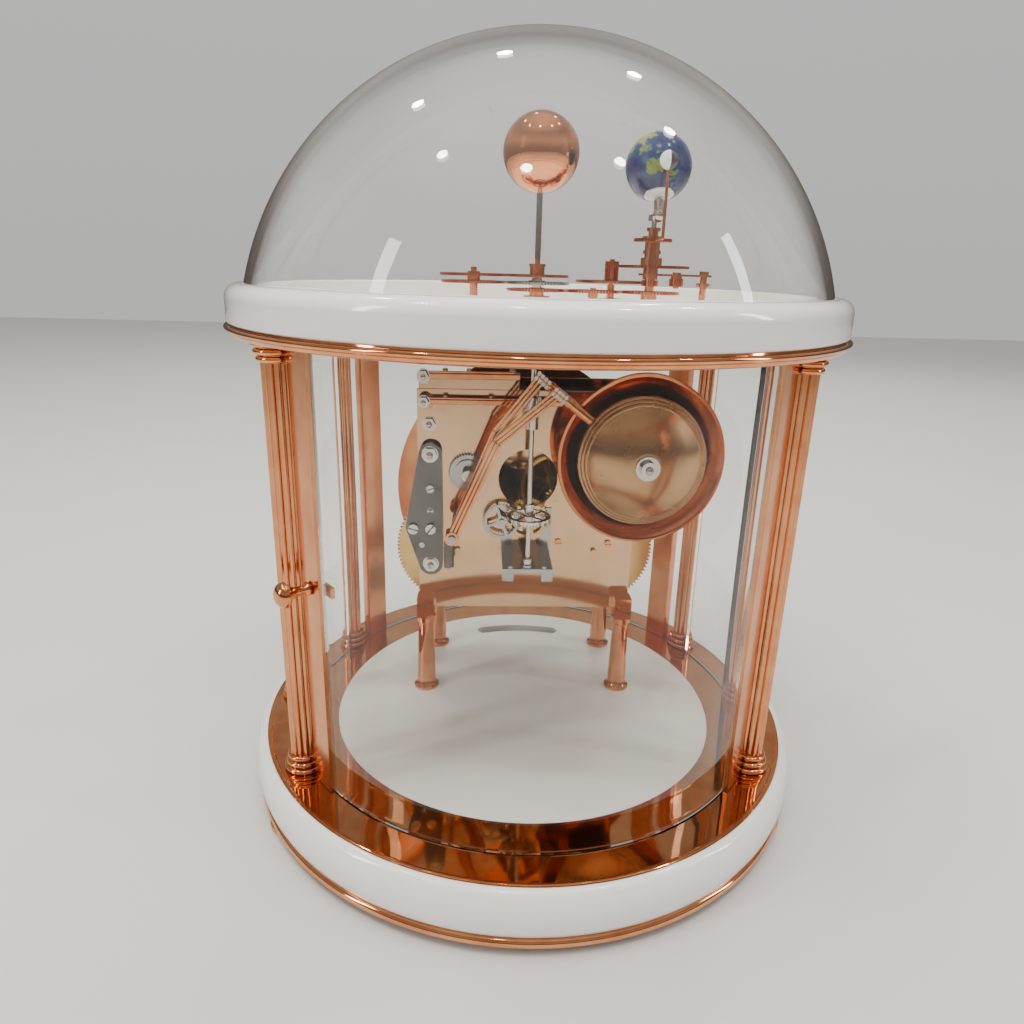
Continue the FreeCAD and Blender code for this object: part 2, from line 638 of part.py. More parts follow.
def make_legs():
    legs = []
    top = MOVE_Z - 3.0
    for way, leg_x, y in ((-1, LEG_REAR_X, REAR_Y), (1, LEG_FRONT_X, FRONT_Y + MOVE_T)):
        for side in (-1, 1):
            x = side * leg_x
            yc = y + way * LEG_BLOCK / 2
            leg = spin([(0, FLOOR_TOP), (LEG_FOOT_R, FLOOR_TOP), (LEG_FOOT_R, FLOOR_TOP + 1.2),
                        ("arc", LEG_FOOT_R - 1.6, FLOOR_TOP + 3.0), (LEG_FOOT_R - 1.8, FLOOR_TOP + 6.5),
                        (LEG_TOP_R, top - 4), (LEG_TOP_R + 0.9, top - 3), (LEG_TOP_R + 0.9, top), (0, top)])
            leg.translate(V(x, yc, 0))
            block = box(x - LEG_BLOCK / 2, x + LEG_BLOCK / 2, yc - LEG_BLOCK / 2, yc + LEG_BLOCK / 2,
                        top, MOVE_Z + LEG_OVERLAP)
            legs.append(joined([leg, block]))
            screw = slotted(2.3, 0, 0, 0)
            if way > 0:
                screw.rotate(ORIGIN, UP, 180)
            legs.append(lift(screw, x, y + way * LEG_BLOCK, MOVE_Z + 3.5))
    save("movement_legs", Part.makeCompound(legs))


# ---- going train, motion work and hands --------------------------------------------------------
def make_train():
    centre, barrel, second, transfer, minute = train_places()
    in0, in1 = REAR_Y + MOVE_T, FRONT_Y
    barrel_y = in0 + 4.0

    to_centre = direction(second, centre)
    to_barrel = direction(second, barrel)
    centre_phase = meshed(to_centre, 0.0, SECOND_WHEEL, CENTRE_PINION)
    barrel_phase = meshed(to_barrel, 0.0, SECOND_PINION, BARREL_TEETH)

    for name, x, phase in (("going_barrel", BARREL_X, barrel_phase), ("strike_barrel", -BARREL_X, 0.0)):
        great = face_rear(wheel(BARREL_TEETH, 2.0, BARREL_MODULE, phase), x, barrel_y, BARREL_Z)
        drum = rod_y(BARREL_R, barrel_y, barrel_y + BARREL_L, x, BARREL_Z)
        axle = rod_y(ARBOR_R, REAR_Y - 2.0, DIAL_Y - 1.0, x, BARREL_Z)
        save(name, joined([great, drum, axle]))

    sx, sz = second
    pinion = face_rear(wheel(SECOND_PINION, 4.0, BARREL_MODULE, 0.0), sx, barrel_y + 1.0, sz)
    big = face_rear(wheel(SECOND_WHEEL, 1.4, MODULE, 0.0, 0, 5, 3.0), sx, in0 + 33.0, sz)
    axle = rod_y(ARBOR_R, REAR_Y + 0.2, FRONT_Y + MOVE_T - 0.2, sx, sz)
    save("second_wheel", joined([pinion, big, axle]))

    x, z = centre
    rear_phase = 90.0
    pieces = [rod_y(CENTRE_ARBOR_R, REAR_Y - 9.5, DIAL_Y + 7.2, x, z),
              face_rear(wheel(CENTRE_PINION, 6.0, MODULE, centre_phase), x, in0 + 35.2, z),
              face_rear(wheel(REAR_WHEEL, 1.2, MODULE, rear_phase, 0, 4, 3.0), x, REAR_Y - 1.5, z),
              face_rear(wheel(DRIVE_PINION, 5.8, MODULE, -90.0), x, REAR_Y - 2.7, z),
              face_rear(wheel(CANNON, 3.0, MODULE, 0.0), x, FRONT_Y + MOVE_T + 4.0, z)]
    save("centre_arbor", joined(pieces))

    line = direction(centre, transfer)
    phase = meshed(line, -90.0, DRIVE_PINION, TRANSFER_WHEEL)
    pieces = [face_rear(wheel(TRANSFER_WHEEL, 1.4, MODULE, phase, 0, 4, 3.0), transfer[0], REAR_Y - 4.2,
                        transfer[1]),
              rod_y(ARBOR_R, REAR_Y - 7.0, REAR_Y + MOVE_T - 0.2, transfer[0], transfer[1])]
    save("transfer_wheel", joined(pieces))

    line = direction(centre, minute)
    minute_phase = meshed(line, 0.0, CANNON, MINUTE_WHEEL)
    fine = MODULE * (CANNON + MINUTE_WHEEL) / (MINUTE_PINION + HOUR_WHEEL)
    y = FRONT_Y + MOVE_T
    mx, mz = minute
    pieces = [face_rear(wheel(MINUTE_WHEEL, 1.4, MODULE, minute_phase, 0, 4, 3.0), mx, y + 3.2, mz),
              face_rear(wheel(MINUTE_PINION, 4.2, fine, line + 180.0), mx, y + 7.0, mz),
              rod_y(ARBOR_R, FRONT_Y + 0.2, y + 8.0, mx, mz)]
    save("minute_wheel", joined(pieces))

    hour_phase = meshed(line + 180.0, line + 180.0, MINUTE_PINION, HOUR_WHEEL)
    bore = CENTRE_ARBOR_R + RUN
    pipe = tube_y(bore + 1.0, bore, y + 4.6, DIAL_Y + 3.4, x, z)
    disc = face_rear(wheel(HOUR_WHEEL, 1.4, fine, hour_phase, bore), x, y + 6.4, z)
    save("hour_wheel", joined([pipe, disc]))

    dial = rod_y(DIAL_R, DIAL_Y, DIAL_Y + DIAL_T, x, z)
    ring = tube_y(DIAL_R, DIAL_R - 3.0, DIAL_Y, DIAL_Y + DIAL_T + 1.2, x, z)
    dial = dial.cut(rod_y(bore + 1.0 + RUN, DIAL_Y - 1, DIAL_Y + DIAL_T + 1, x, z))
    for side in (-1, 1):
        dial = dial.cut(rod_y(4.0, DIAL_Y - 1, DIAL_Y + DIAL_T + 1, side * BARREL_X, BARREL_Z))
    feet = [rod_y(2.0, y, DIAL_Y, side * 46.0, MOVE_Z + high) for side in (-1, 1) for high in (12.0, 94.0)]
    save("dial", joined([dial, ring] + feet))

    hour = hand(HOUR_HAND_L, 5.0, bore + 1.0, DIAL_Y + 2.1, -60.0)
    save("hour_hand", hour)
    save("minute_hand", hand(MINUTE_HAND_L, 4.0, CENTRE_ARBOR_R, DIAL_Y + 4.6, 60.0))


def hand(length, width, bore, y, angle):
    """Pointed hand on the far side of the dial, at an angle from twelve o'clock."""
    z = CENTRE_Z
    blade = Part.Face(outline([(-width / 2, 4), (0, length), (width / 2, 4), (1.2, -9), (-1.2, -9)]))
    blade = blade.extrude(V(0, HAND_T, 0))
    boss = rod_y(bore + 2.0, 0, HAND_T, 0, 0)
    piece = blade.fuse(boss).cut(rod_y(bore + 0.01, -1, HAND_T + 1, 0, 0)).removeSplitter()
    piece.rotate(ORIGIN, V(0, 1, 0), -angle)
    piece.translate(V(0, y, z))
    return piece


# ---- strike work -------------------------------------------------------------------------------
def flat_link(points, half_widths, y0, y1):
    """Flat strip through (x, z) points, round at its ends and joints."""
    pieces = []
    for (x, z), r in zip(points, half_widths):
        pieces.append(rod_y(r, y0, y1, x, z))
    for k in range(len(points) - 1):
        (xa, za), (xb, zb) = points[k], points[k + 1]
        d = math.hypot(xb - xa, zb - za)
        nx, nz = -(zb - za) / d, (xb - xa) / d
        ra, rb = half_widths[k], half_widths[k + 1]
        quad = [V(xa + nx * ra, y0, za + nz * ra), V(xb + nx * rb, y0, zb + nz * rb),
                V(xb - nx * rb, y0, zb - nz * rb), V(xa - nx * ra, y0, za - nz * ra)]
        pieces.append(Part.Face(Part.makePolygon(quad + [quad[0]])).extrude(V(0, y1 - y0, 0)))
    return joined(pieces)


def make_hammer(name, y, bell_r, lean):
    """Hammer: two flat strips side by side, a clamp with screws, and a round head aimed at its bell."""
    ux, uz = -STRIKE_SIDE[0], -STRIKE_SIDE[1]
    reach = bell_r + STRIKE_GAP + HAMMER_HEAD_L
    tip = (BELL_X - ux * reach, BELL_Z - uz * reach)
    elbow = (HAMMER_X + 22.0, HAMMER_Z + 50.0 + lean)
    strips = [rod_y(3.6, y, y + HAMMER_ARM_T, HAMMER_X, HAMMER_Z)]
    for side in (-1, 1):
        dx, dz = -side * HAMMER_SPREAD * 0.8, side * HAMMER_SPREAD * 0.6
        points = [(x + dx, z + dz) for x, z in ((HAMMER_X, HAMMER_Z), elbow, tip)]
        strips.append(flat_link(points, (HAMMER_STRIP,) * 3, y, y + HAMMER_ARM_T))
    arm = joined(strips).cut(rod_y(HAMMER_ARBOR_R + RUN, y - 1, y + 3, HAMMER_X, HAMMER_Z))
    yc = y + HAMMER_ARM_T / 2

    def along(distance):
        return V(tip[0] + distance * ux, yc, tip[1] + distance * uz)

    pieces = [arm, bar(along(-2.0), along(HAMMER_HEAD_L), HAMMER_HEAD_R),
              bar(along(-9.0), along(-2.0), HAMMER_HEAD_R * 0.75)]
    for k in range(3):
        middle = along(-3.5 - 2.4 * k)
        pieces.append(bar(middle.sub(V(0, 2.5, 0)), middle.add(V(0, 2.5, 0)), 1.0))
    save(name, joined(pieces))


def make_strike():
    y0 = COCK_Y
    high, low = COCK_FEET
    route = [(COCK_X, high), (COCK_X - 3.5, COCK_BULGE_Z), (COCK_X, low)]
    cock = flat_link(route, (6.0, 10.0, 6.5), y0, y0 + COCK_T)
    posts = [rod_y(2.6, y0 + COCK_T, REAR_Y, COCK_X, z) for z in COCK_FEET]
    cock = joined([cock] + posts)
    heads = []
    for x, z, r in ((COCK_X, high, 3.4), (COCK_X, low, 3.4), (COCK_X, high - 18.6, 1.9),
                    (COCK_X, COCK_BULGE_Z + 9.0, 1.6), (COCK_X - 9.4, COCK_BULGE_Z - 1.2, 2.6),
                    (COCK_X, COCK_BULGE_Z - 1.2, 2.6)):
        heads.append(slotted(r, y0, x, z))
    save("strike_cock", Part.makeCompound([cock] + heads))

    first = HAMMER_SMALL_Y - 1.0
    save("hammer_arbor", joined([rod_y(HAMMER_ARBOR_R, first, REAR_Y + MOVE_T - 0.2, HAMMER_X, HAMMER_Z),
                                 rod_y(HAMMER_ARBOR_R + 0.8, first - 1.0, first, HAMMER_X, HAMMER_Z)]))
    x, y, z = SPRING_X, SPRING_Y, SPRING_Z
    step, coil_r = 2 * SPRING_WIRE_R + 0.05, SPRING_R
    crests = [(coil_r - SPRING_WIRE_R, 0)]
    for k in range(SPRING_TURNS):
        crests += [(coil_r, k * step), (coil_r + SPRING_WIRE_R, (k + 0.5) * step)]
    end = SPRING_TURNS * step
    crests += [(coil_r, end), (coil_r - SPRING_WIRE_R, end)]
    anchor = rod_y(0.8, y - coil_r, REAR_Y, x, z - 0.6)
    save("hammer_spring", joined([lift(spin(crests), x, y, z), anchor]))
    make_hammer("hammer_large", HAMMER_LARGE_Y, BELL_LARGE_R, 4.0)
    make_hammer("hammer_small", HAMMER_SMALL_Y, BELL_SMALL_R, 0.0)

    teeth = face_rear(wheel(STRIKE_TEETH, 1.6, MODULE, 0.0), STRIKE_X, REAR_Y - 1.2, STRIKE_Z)
    disc = rod_y(7.2, REAR_Y - 4.4, REAR_Y - 2.8, STRIKE_X, STRIKE_Z)
    end = rod_y(2.6, REAR_Y - 8.0, REAR_Y - 4.4, STRIKE_X, STRIKE_Z)
    end = end.cut(box(STRIKE_X - 0.45, STRIKE_X + 0.45, REAR_Y - 9, REAR_Y - 7.2, STRIKE_Z - 3, STRIKE_Z + 3))
    axle = rod_y(ARBOR_R, REAR_Y - 5.0, FRONT_Y + MOVE_T - 0.2, STRIKE_X, STRIKE_Z)
    save("strike_wheel", joined([teeth, disc, end, axle]))


def make_bells():
    """Two bells on one post: the large one open to the rear, with the small one in its mouth."""
    def bell(r, depth, lip, sense, y_rim):
        t, bore, flat = BELL_T, BELL_POST_R + RUN, BELL_FLAT_R
        low = (flat * flat + depth * depth - r * r) / (2 * depth)
        outer = math.hypot(r, low)
        inner = outer - t
        flat_in = math.sqrt(inner ** 2 - (depth - t - low) ** 2)
        foot_in = math.sqrt(inner ** 2 - low ** 2)

        def half_way(radius, near, far):
            mid = (math.asin(near / radius) + math.asin(far / radius)) / 2
            return "arc", radius * math.sin(mid), low + radius * math.cos(mid)

        shape = spin([(r, 0), half_way(outer, flat, r), (flat, depth), (bore, depth), (bore, depth - t),
                      (flat_in, depth - t), half_way(inner, flat_in, foot_in), (foot_in, 0)])
        ring = spin([(r - t, 0.6), (r - t, -lip), (r, -lip), (r, 0.0), (r - t / 2, 0.6)])
        shape = joined([shape, ring])
        shape.rotate(ORIGIN, V(1, 0, 0), sense * 90)
        shape.translate(V(BELL_X, y_rim, BELL_Z))
        return shape

    large = bell(BELL_LARGE_R, BELL_LARGE_DEPTH, 1.5, -1, BELL_LARGE_Y)
    small = bell(BELL_SMALL_R, BELL_SMALL_DEPTH, 3.5, 1, BELL_SMALL_Y)
    save("bell_large", large)
    save("bell_small", small)
    crown = BELL_LARGE_Y + BELL_LARGE_DEPTH
    cap = BELL_SMALL_Y - BELL_SMALL_DEPTH
    first, last = cap + BELL_T, crown - BELL_T
    x, z = BELL_X, BELL_Z
    post = [rod_y(BELL_POST_R, cap - 2.0, REAR_Y, x, z), rod_y(BELL_POST_R + 0.4, crown, REAR_Y, x, z)]
    spacer = tube_y(BELL_POST_R + 1.4, BELL_POST_R, first, last, x, z)
    nut = joined([tube_y(6.0, BELL_POST_R, cap - 1.2, cap, x, z), rod_y(4.0, cap - 4.4, cap - 2.0, x, z),
                  tube_y(4.0, BELL_POST_R, cap - 2.0, cap - 1.2, x, z),
                  Part.makeSphere(2.0, V(x, cap - 4.6, z))])
    save("bell_post", joined(post + [spacer, nut]))


# ---- vertical drive ----------------------------------------------------------------------------
def make_drive():
    half = SHELF_W / 2
    shelf = box(-half, half, SHELF_Y, REAR_Y, SHELF_Z - SHELF_T, SHELF_Z)
    legs = []
    for side in (-1, 1):
        x0, x1 = sorted((side * half, side * (half - 6.0)))
        legs.append(box(x0, x1, REAR_Y - 1.0, REAR_Y, SHELF_Z, CENTRE_Z + 5.5))
        legs.append(box(x0, x1, SHELF_Y, SHELF_Y + 2.0, SHELF_Z - SHELF_T - 4.5, SHELF_Z - SHELF_T))
    transfer = train_places()[3]
    shelf = joined([shelf] + legs).cut(cyl(SHAFT_R + RUN, SHELF_Z - 6, SHELF_Z + 1))
    shelf = shelf.cut(rod_y(ARBOR_R + GAP, REAR_Y - 2, REAR_Y + 1, transfer[0], transfer[1]))
    bush = tube(4.2, SHAFT_R + RUN, SHELF_Z, SHELF_Z + 1.6)
    heads = []
    for side in (-1, 1):
        heads.append(cyl(2.2, SHELF_Z, SHELF_Z + 1.3, side * 9.0, -2.5))
    save("drive_bracket", Part.makeCompound([joined([shelf, bush])] + heads))

    top = SKY_TOP - SKY_T - GEARBOX_H
    shaft = [cyl(SHAFT_R, SHELF_Z - SHELF_T - 1.0, top + 2.0), cyl(3.2, SHELF_Z + 1.9, SHELF_Z + 4.5),
             cyl(2.6, CONTRATE_Z + 3.6, CONTRATE_Z + 9.0), cyl(3.2, COUPLING_Z - 9.0, COUPLING_Z - 2.0)]
    coupling = cyl(4.4, COUPLING_Z, COUPLING_Z + 7.0)
    for k in range(4):
        flute = at(4.6, 45 + 90 * k)
        coupling = coupling.cut(cyl(1.5, COUPLING_Z - 1, COUPLING_Z + 8, flute.x, flute.y))
    neck = cyl(2.2, COUPLING_Z - 2.0, COUPLING_Z)
    save("drive_shaft", joined(shaft + [neck, coupling]))

    pitch = 360.0 / CONTRATE
    half = MODULE * math.pi / 4
    z1 = CONTRATE_Z + CONTRATE_DEPTH - 0.3
    face = [(-half * 1.04, z1), (-half * 0.29, z1 - CONTRATE_DEPTH), (half * 0.29, z1 - CONTRATE_DEPTH),
            (half * 1.04, z1), (-half * 1.04, z1)]
    corners = [V(CONTRATE_R - CONTRATE_W, y, z) for y, z in face]
    tooth = Part.Face(Part.makePolygon(corners)).extrude(V(CONTRATE_W, 0, 0))
    teeth = []
    for k in range(CONTRATE):
        turned = tooth.copy()
        turned.rotate(ORIGIN, UP, 90 + (k + 0.5) * pitch)
        teeth.append(turned)
    rim = tube(CONTRATE_R, CONTRATE_R - CONTRATE_W, z1, z1 + 1.4)
    web = [Part.makeBox(CONTRATE_R - 1.4, 1.8, 1.2, V(0, -0.9, z1 + 0.1)) for _ in range(4)]
    for k, arm in enumerate(web):
        arm.rotate(ORIGIN, UP, 90 * k + 45)
    hub = cyl(3.4, z1 - 0.2, z1 + 1.7)
    contrate = joined([rim, hub] + web + teeth).cut(cyl(SHAFT_R, z1 - 5, z1 + 9))
    save("contrate_wheel", contrate)

    z0 = SKY_TOP - SKY_T - GEARBOX_H
    drum = cyl(GEARBOX_R, z0, SKY_TOP - SKY_T)
    drum = drum.cut(cyl(SHAFT_R + RUN, z0 - 1, z0 + 4))
    drum = drum.cut(cyl(ARM_TUBE_R + RUN, z0 + GEARBOX_FLOOR, SKY_TOP))
    save("orrery_gearbox", drum)


# ---- orrery ------------------------------------------------------------------------------------
def make_sun():
    foot = SKY_TOP - SKY_T - GEARBOX_H + GEARBOX_FLOOR
    bore = SUN_ROD_R + RUN
    post = [tube(POST_R, bore, foot, LEVEL_C - GAP),
            lift(wheel(FIXED_TEETH, WHEEL_T, phase=0.0, bore=bore, spokes=5, hub=4.0), 0, 0, LEVEL_B),
            tube(4.0, bore, LEVEL_B - 0.5, LEVEL_B + WHEEL_T + 0.6)]
    post_foot = cyl(ARM_TUBE_R - GAP, foot, foot + 1.0)
    save("sun_post", joined(post + [post_foot]))

    spindle = [cyl(SUN_ROD_R, foot + 1.2, SUN_Z - SUN_R + 1.5),
               lift(wheel(SUN_TEETH, WHEEL_T, phase=0.0, spokes=5, hub=4.0), 0, 0, LEVEL_C),
               cyl(3.5, LEVEL_C + WHEEL_T, LEVEL_C + 6.0), cyl(3.9, LEVEL_C + 4.8, LEVEL_C + 6.0)]
    save("sun_spindle", joined(spindle))
    ball = Part.makeSphere(SUN_R, V(0, 0, SUN_Z)).cut(cyl(SUN_ROD_R, SUN_Z - SUN_R - 1, SUN_Z - SUN_R + 1.5))
    save("sun_ball", ball)

    day_bore = POST_R + RUN
    day = [tube(DAY_TUBE_R, day_bore, foot + 1.0 + GAP, LEVEL_A + WHEEL_T + 0.6),
           lift(wheel(DAY_TEETH, WHEEL_T, phase=0.0, bore=day_bore, spokes=5, hub=5.0), 0, 0, LEVEL_A),
           tube(6.4, day_bore, ARM_Z + ARM_T + GAP, ARM_Z + ARM_T + 1.2),
           tube(4.6, day_bore, ARM_Z + ARM_T + 1.2, ARM_Z + ARM_T + 2.2),
           tube(6.4, day_bore, ARM_Z + ARM_T + 2.2, ARM_Z + ARM_T + 3.0)]
    save("day_wheel", joined(day))


def make_arm():
    bore = DAY_TUBE_R + RUN
    z0, z1 = ARM_Z, ARM_Z + ARM_T
    plate = box(COMPOUND_X, END_POST_X + 8.0, -ARM_W / 2, ARM_W / 2, z0, z1)
    plate = plate.fuse([cyl(ARM_W / 2, z0, z1, COMPOUND_X), cyl(8.0, z0, z1), cyl(8.5, z0, z1, EARTH_X)])
    nose = Part.Face(Part.makePolygon([V(END_POST_X + 8, -3.0, z0), V(END_POST_X + 13, 0, z0),
                                       V(END_POST_X + 8, 3.0, z0), V(END_POST_X + 8, -3.0, z0)]))
    arm_tube = cyl(ARM_TUBE_R, SKY_TOP - SKY_T - 8.0, z0)
    arm = joined([plate, nose.extrude(V(0, 0, ARM_T)), arm_tube])
    arm = arm.cut(cyl(bore, SKY_TOP - SKY_T - 9.0, z1 + 1))
    arm = arm.cut(cyl(EARTH_ROD_R + RUN, z0 - 1, z1 + 1, EARTH_X))
    posts = [cyl(2.0, z1, LEVEL_B - GAP, COMPOUND_X), cyl(1.4, LEVEL_B - GAP, LEVEL_C + 4.0, COMPOUND_X),
             cyl(2.4, z1, BRIDGE_Z, IDLER_X), cyl(1.4, BRIDGE_Z, LEVEL_A + WHEEL_T + 1.0, IDLER_X),
             cyl(1.4, KEEPER_Z - 0.6, z0, IDLER_X), cyl(2.4, z1, BRIDGE_Z, REDUCER_X + 3.0)]
    arm = joined([arm] + posts)
    route = [(IDLER_X, 0), (REDUCER_X + 3.0, 0), (REDUCER_X, REDUCER_Y)]
    bridge = flat_plan(route, 2.4, BRIDGE_Z - 1.2, BRIDGE_Z)
    stud = cyl(STUD_R, BRIDGE_Z, LEVEL_F + WHEEL_T + 2.6, REDUCER_X, REDUCER_Y)
    seat = cyl(1.9, BRIDGE_Z, LEVEL_E - GAP - 0.6, REDUCER_X, REDUCER_Y)
    save("year_arm", joined([arm, bridge, stud, seat]))

    link = [box(EARTH_X, END_POST_X + 3.0, -2.0, 2.0, LINK_Z, LINK_Z + 1.0),
            cyl(5.6, LINK_Z, LINK_Z + 1.0, EARTH_X), cyl(3.6, LINK_Z, LINK_Z + 1.0, END_POST_X)]
    link = joined(link).cut(cyl(MOON_TUBE_R + GAP, LINK_Z - 1, LINK_Z + 2, EARTH_X))
    hanger = [lift(wheel(12, 3.6), HANG_X, 0, LINK_Z - 4.6), cyl(1.4, LINK_Z - 5.6, LINK_Z, HANG_X),
              cyl(2.6, LINK_Z - 1.0, LINK_Z, HANG_X), cyl(2.0, LINK_Z + 1.0, LINK_Z + 1.8, HANG_X)]
    post = [cyl(1.6, z1, LINK_Z, END_POST_X), cyl(2.2, LINK_Z + 1.0, LINK_Z + 2.6, END_POST_X),
            cyl(3.0, z1, z1 + 1.0, END_POST_X), cyl(2.4, LINK_Z - 4.4, LINK_Z - 3.0, END_POST_X)]
    screws = [Part.makeCylinder(0.9, 6.4, V(END_POST_X - 3.2, 0, LINK_Z - 3.7), V(1, 0, 0))]
    for side in (-1, 1):
        screws.append(cyl(0.9, z1, z1 + 1.0, END_POST_X + side * 5.4))
    save("arm_link", joined([link] + hanger + post + screws[:1]).fuse(screws[1:]))


def flat_plan(points, r, z0, z1):
    """Flat strip through plan points, round at its ends and joints."""
    pieces = [cyl(r, z0, z1, x, y) for x, y in points]
    for (xa, ya), (xb, yb) in zip(points, points[1:]):
        d = math.hypot(xb - xa, yb - ya)
        nx, ny = -(yb - ya) / d * r, (xb - xa) / d * r
        quad = [V(xa + nx, ya + ny, z0), V(xb + nx, yb + ny, z0),
                V(xb - nx, yb - ny, z0), V(xa - nx, ya - ny, z0)]
        pieces.append(Part.Face(Part.makePolygon(quad + [quad[0]])).extrude(V(0, 0, z1 - z0)))
    return joined(pieces)


def make_trains():
    keeper_phase = meshed(0.0, 0.0, KEEPER_TEETH, KEEPER_IDLER)
    idler = wheel(KEEPER_IDLER, WHEEL_T, phase=keeper_phase, bore=1.4 + RUN, spokes=5, hub=4.0)
    save("keeper_idler", lift(idler, IDLER_X, 0, KEEPER_Z))

    idler = wheel(IDLER_TEETH, WHEEL_T, phase=meshed(0.0, 0.0, DAY_TEETH, IDLER_TEETH), bore=1.4 + RUN,
                  spokes=5, hub=4.0)
    collar = tube(2.4, 1.4 + RUN, BRIDGE_Z + GAP, LEVEL_A, IDLER_X)
    save("idler_wheel", joined([lift(idler, IDLER_X, 0, LEVEL_A), collar]))

    low_phase = meshed(180.0, 0.0, FIXED_TEETH, COMPOUND_LOW)
    high_phase = meshed(180.0, 0.0, SUN_TEETH, COMPOUND_HIGH)
    bore = 1.4 + RUN
    low = wheel(COMPOUND_LOW, WHEEL_T, phase=low_phase, bore=bore, spokes=5, hub=4.0)
    high = wheel(COMPOUND_HIGH, WHEEL_T, phase=high_phase, bore=bore, spokes=5, hub=4.0)
    pipe = tube(3.0, bore, LEVEL_B, LEVEL_C + WHEEL_T + 0.8, COMPOUND_X)
    pair = [lift(low, COMPOUND_X, 0, LEVEL_B), lift(high, COMPOUND_X, 0, LEVEL_C)]
    save("sun_compound", joined(pair + [pipe]))


def make_earth():
    """Earth post from the inside out (tilt bracket, drive tube, moon carriage), globe and moon."""
    x = EARTH_X
    top = EARTH_Z - 23.0
    keeper_phase = meshed(0.0, meshed(0.0, 0.0, KEEPER_TEETH, KEEPER_IDLER), KEEPER_IDLER, KEEPER_TEETH)
    tilt = math.radians(EARTH_TILT)
    lean = V(0, math.sin(tilt), math.cos(tilt))
    centre = V(x, 0, EARTH_Z)
    heel = centre.sub(lean * 22.0)
    rod = cyl(EARTH_ROD_R, KEEPER_Z - 0.6, top + 1.0, x)
    keeper = lift(wheel(KEEPER_TEETH, WHEEL_T, phase=keeper_phase, spokes=5, hub=4.0), x, 0, KEEPER_Z)
    collar = cyl(2.6, KEEPER_Z + WHEEL_T, ARM_Z - GAP, x)
    block = box(x - 2.4, x + 2.4, heel.y - 1.0, 2.4, top, top + 2.6)
    bush = bar(heel.sub(lean * 1.5), centre.sub(lean * (EARTH_R + 1.2)), 2.3)
    knuckle = Part.makeSphere(3.0, V(x, heel.y, heel.z - 1.0))
    bracket = joined([rod, keeper, collar, block, bush, knuckle])
    pin_hole = bar(heel.sub(lean * 0.3), centre, 0.9 + RUN)
    save("tilt_bracket", bracket.cut(pin_hole))

    pin = bar(heel, centre.add(lean * (EARTH_R + 2.6)), 0.9)
    cap = bar(centre.add(lean * (EARTH_R - 0.4)), centre.add(lean * (EARTH_R + 2.8)), 1.3)
    save("earth_globe", joined([Part.makeSphere(EARTH_R, centre), pin, cap]))

    bore = EARTH_ROD_R + RUN
    drive_phase = meshed(0.0, meshed(0.0, 0.0, DAY_TEETH, IDLER_TEETH), IDLER_TEETH, DAY_TEETH)
    leaf_phase = REDUCER_ANGLE
    drive = [tube(EARTH_TUBE_R, bore, ARM_Z + ARM_T + GAP, top - 3.0, x),
             lift(wheel(DAY_TEETH, WHEEL_T, phase=drive_phase, bore=bore, spokes=5, hub=5.0), x, 0, LEVEL_A),
             lift(wheel(EARTH_PINION, 2.8, phase=leaf_phase, bore=bore), x, 0, LEVEL_E - 0.8),
             tube(4.4, bore, ARM_Z + ARM_T + GAP, ARM_Z + ARM_T + 1.6, x),
             tube(3.8, bore, ARM_Z + ARM_T + 1.6, LEVEL_A, x),
             tube(3.2, bore, top - 4.6, top - 3.0, x)]
    save("earth_drive", joined(drive))

    back = REDUCER_ANGLE + 180.0
    reducer_phase = meshed(REDUCER_ANGLE, leaf_phase, EARTH_PINION, REDUCER_TEETH)
    reducer = [lift(wheel(REDUCER_TEETH, WHEEL_T, phase=reducer_phase, spokes=5, hub=4.0), 0, 0, LEVEL_E),
               lift(wheel(REDUCER_PINION, LEVEL_F + WHEEL_T + 1.6 - LEVEL_E, phase=back), 0, 0, LEVEL_E)]
    reducer = joined(reducer).cut(cyl(STUD_R + RUN, LEVEL_E - 1, LEVEL_F + 6))
    save("moon_reducer", lift(reducer, REDUCER_X, REDUCER_Y, 0))

    bore = EARTH_TUBE_R + RUN
    moon_phase = meshed(back, back, REDUCER_PINION, MOON_TEETH)
    moon_wheel = wheel(MOON_TEETH, WHEEL_T, phase=moon_phase, bore=bore, spokes=5, hub=5.0)
    low = LEVEL_E + 2.0 + GAP
    carriage = [tube(MOON_TUBE_R, bore, low, MOON_WHEEL_Z + 2.4, x),
                lift(moon_wheel, x, 0, LEVEL_F),
                lift(wheel(34, 1.4, phase=0.0, bore=bore), x, 0, MOON_WHEEL_Z),
                tube(5.0, bore, LEVEL_F + WHEEL_T, LEVEL_F + WHEEL_T + 3.4, x),
                tube(4.2, bore, LEVEL_F + 6.4, LEVEL_F + 8.0, x),
                tube(5.0, bore, MOON_WHEEL_Z + 1.4, MOON_WHEEL_Z + 2.4, x)]
    arm_z = MOON_WHEEL_Z + 0.7
    elbow = V(x, -MOON_ARM, arm_z)
    carriage += [bar(V(x, -MOON_TUBE_R, arm_z), elbow, 0.7), Part.makeSphere(0.7, elbow),
                 cyl(0.7, arm_z, MOON_Z - MOON_R + 1.0, x, -MOON_ARM)]
    save("moon_carriage", joined(carriage).cut(cyl(bore, low - 1, arm_z + 9, x)))
    moon = Part.makeSphere(MOON_R, V(x, -MOON_ARM, MOON_Z))
    save("moon_ball", moon.cut(cyl(0.7, MOON_Z - MOON_R - 1, MOON_Z - MOON_R + 1.0, x, -MOON_ARM)))


make_base()
make_columns()
make_top()
make_side_panes()
make_door("rear", 1)
make_door("front", -1)
make_plates()
make_legs()
make_train()
make_strike()
make_bells()
make_drive()
make_sun()
make_arm()
make_trains()
make_earth()
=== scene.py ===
"""Looks of the domed orrery clock: glass, lacquer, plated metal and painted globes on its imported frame."""

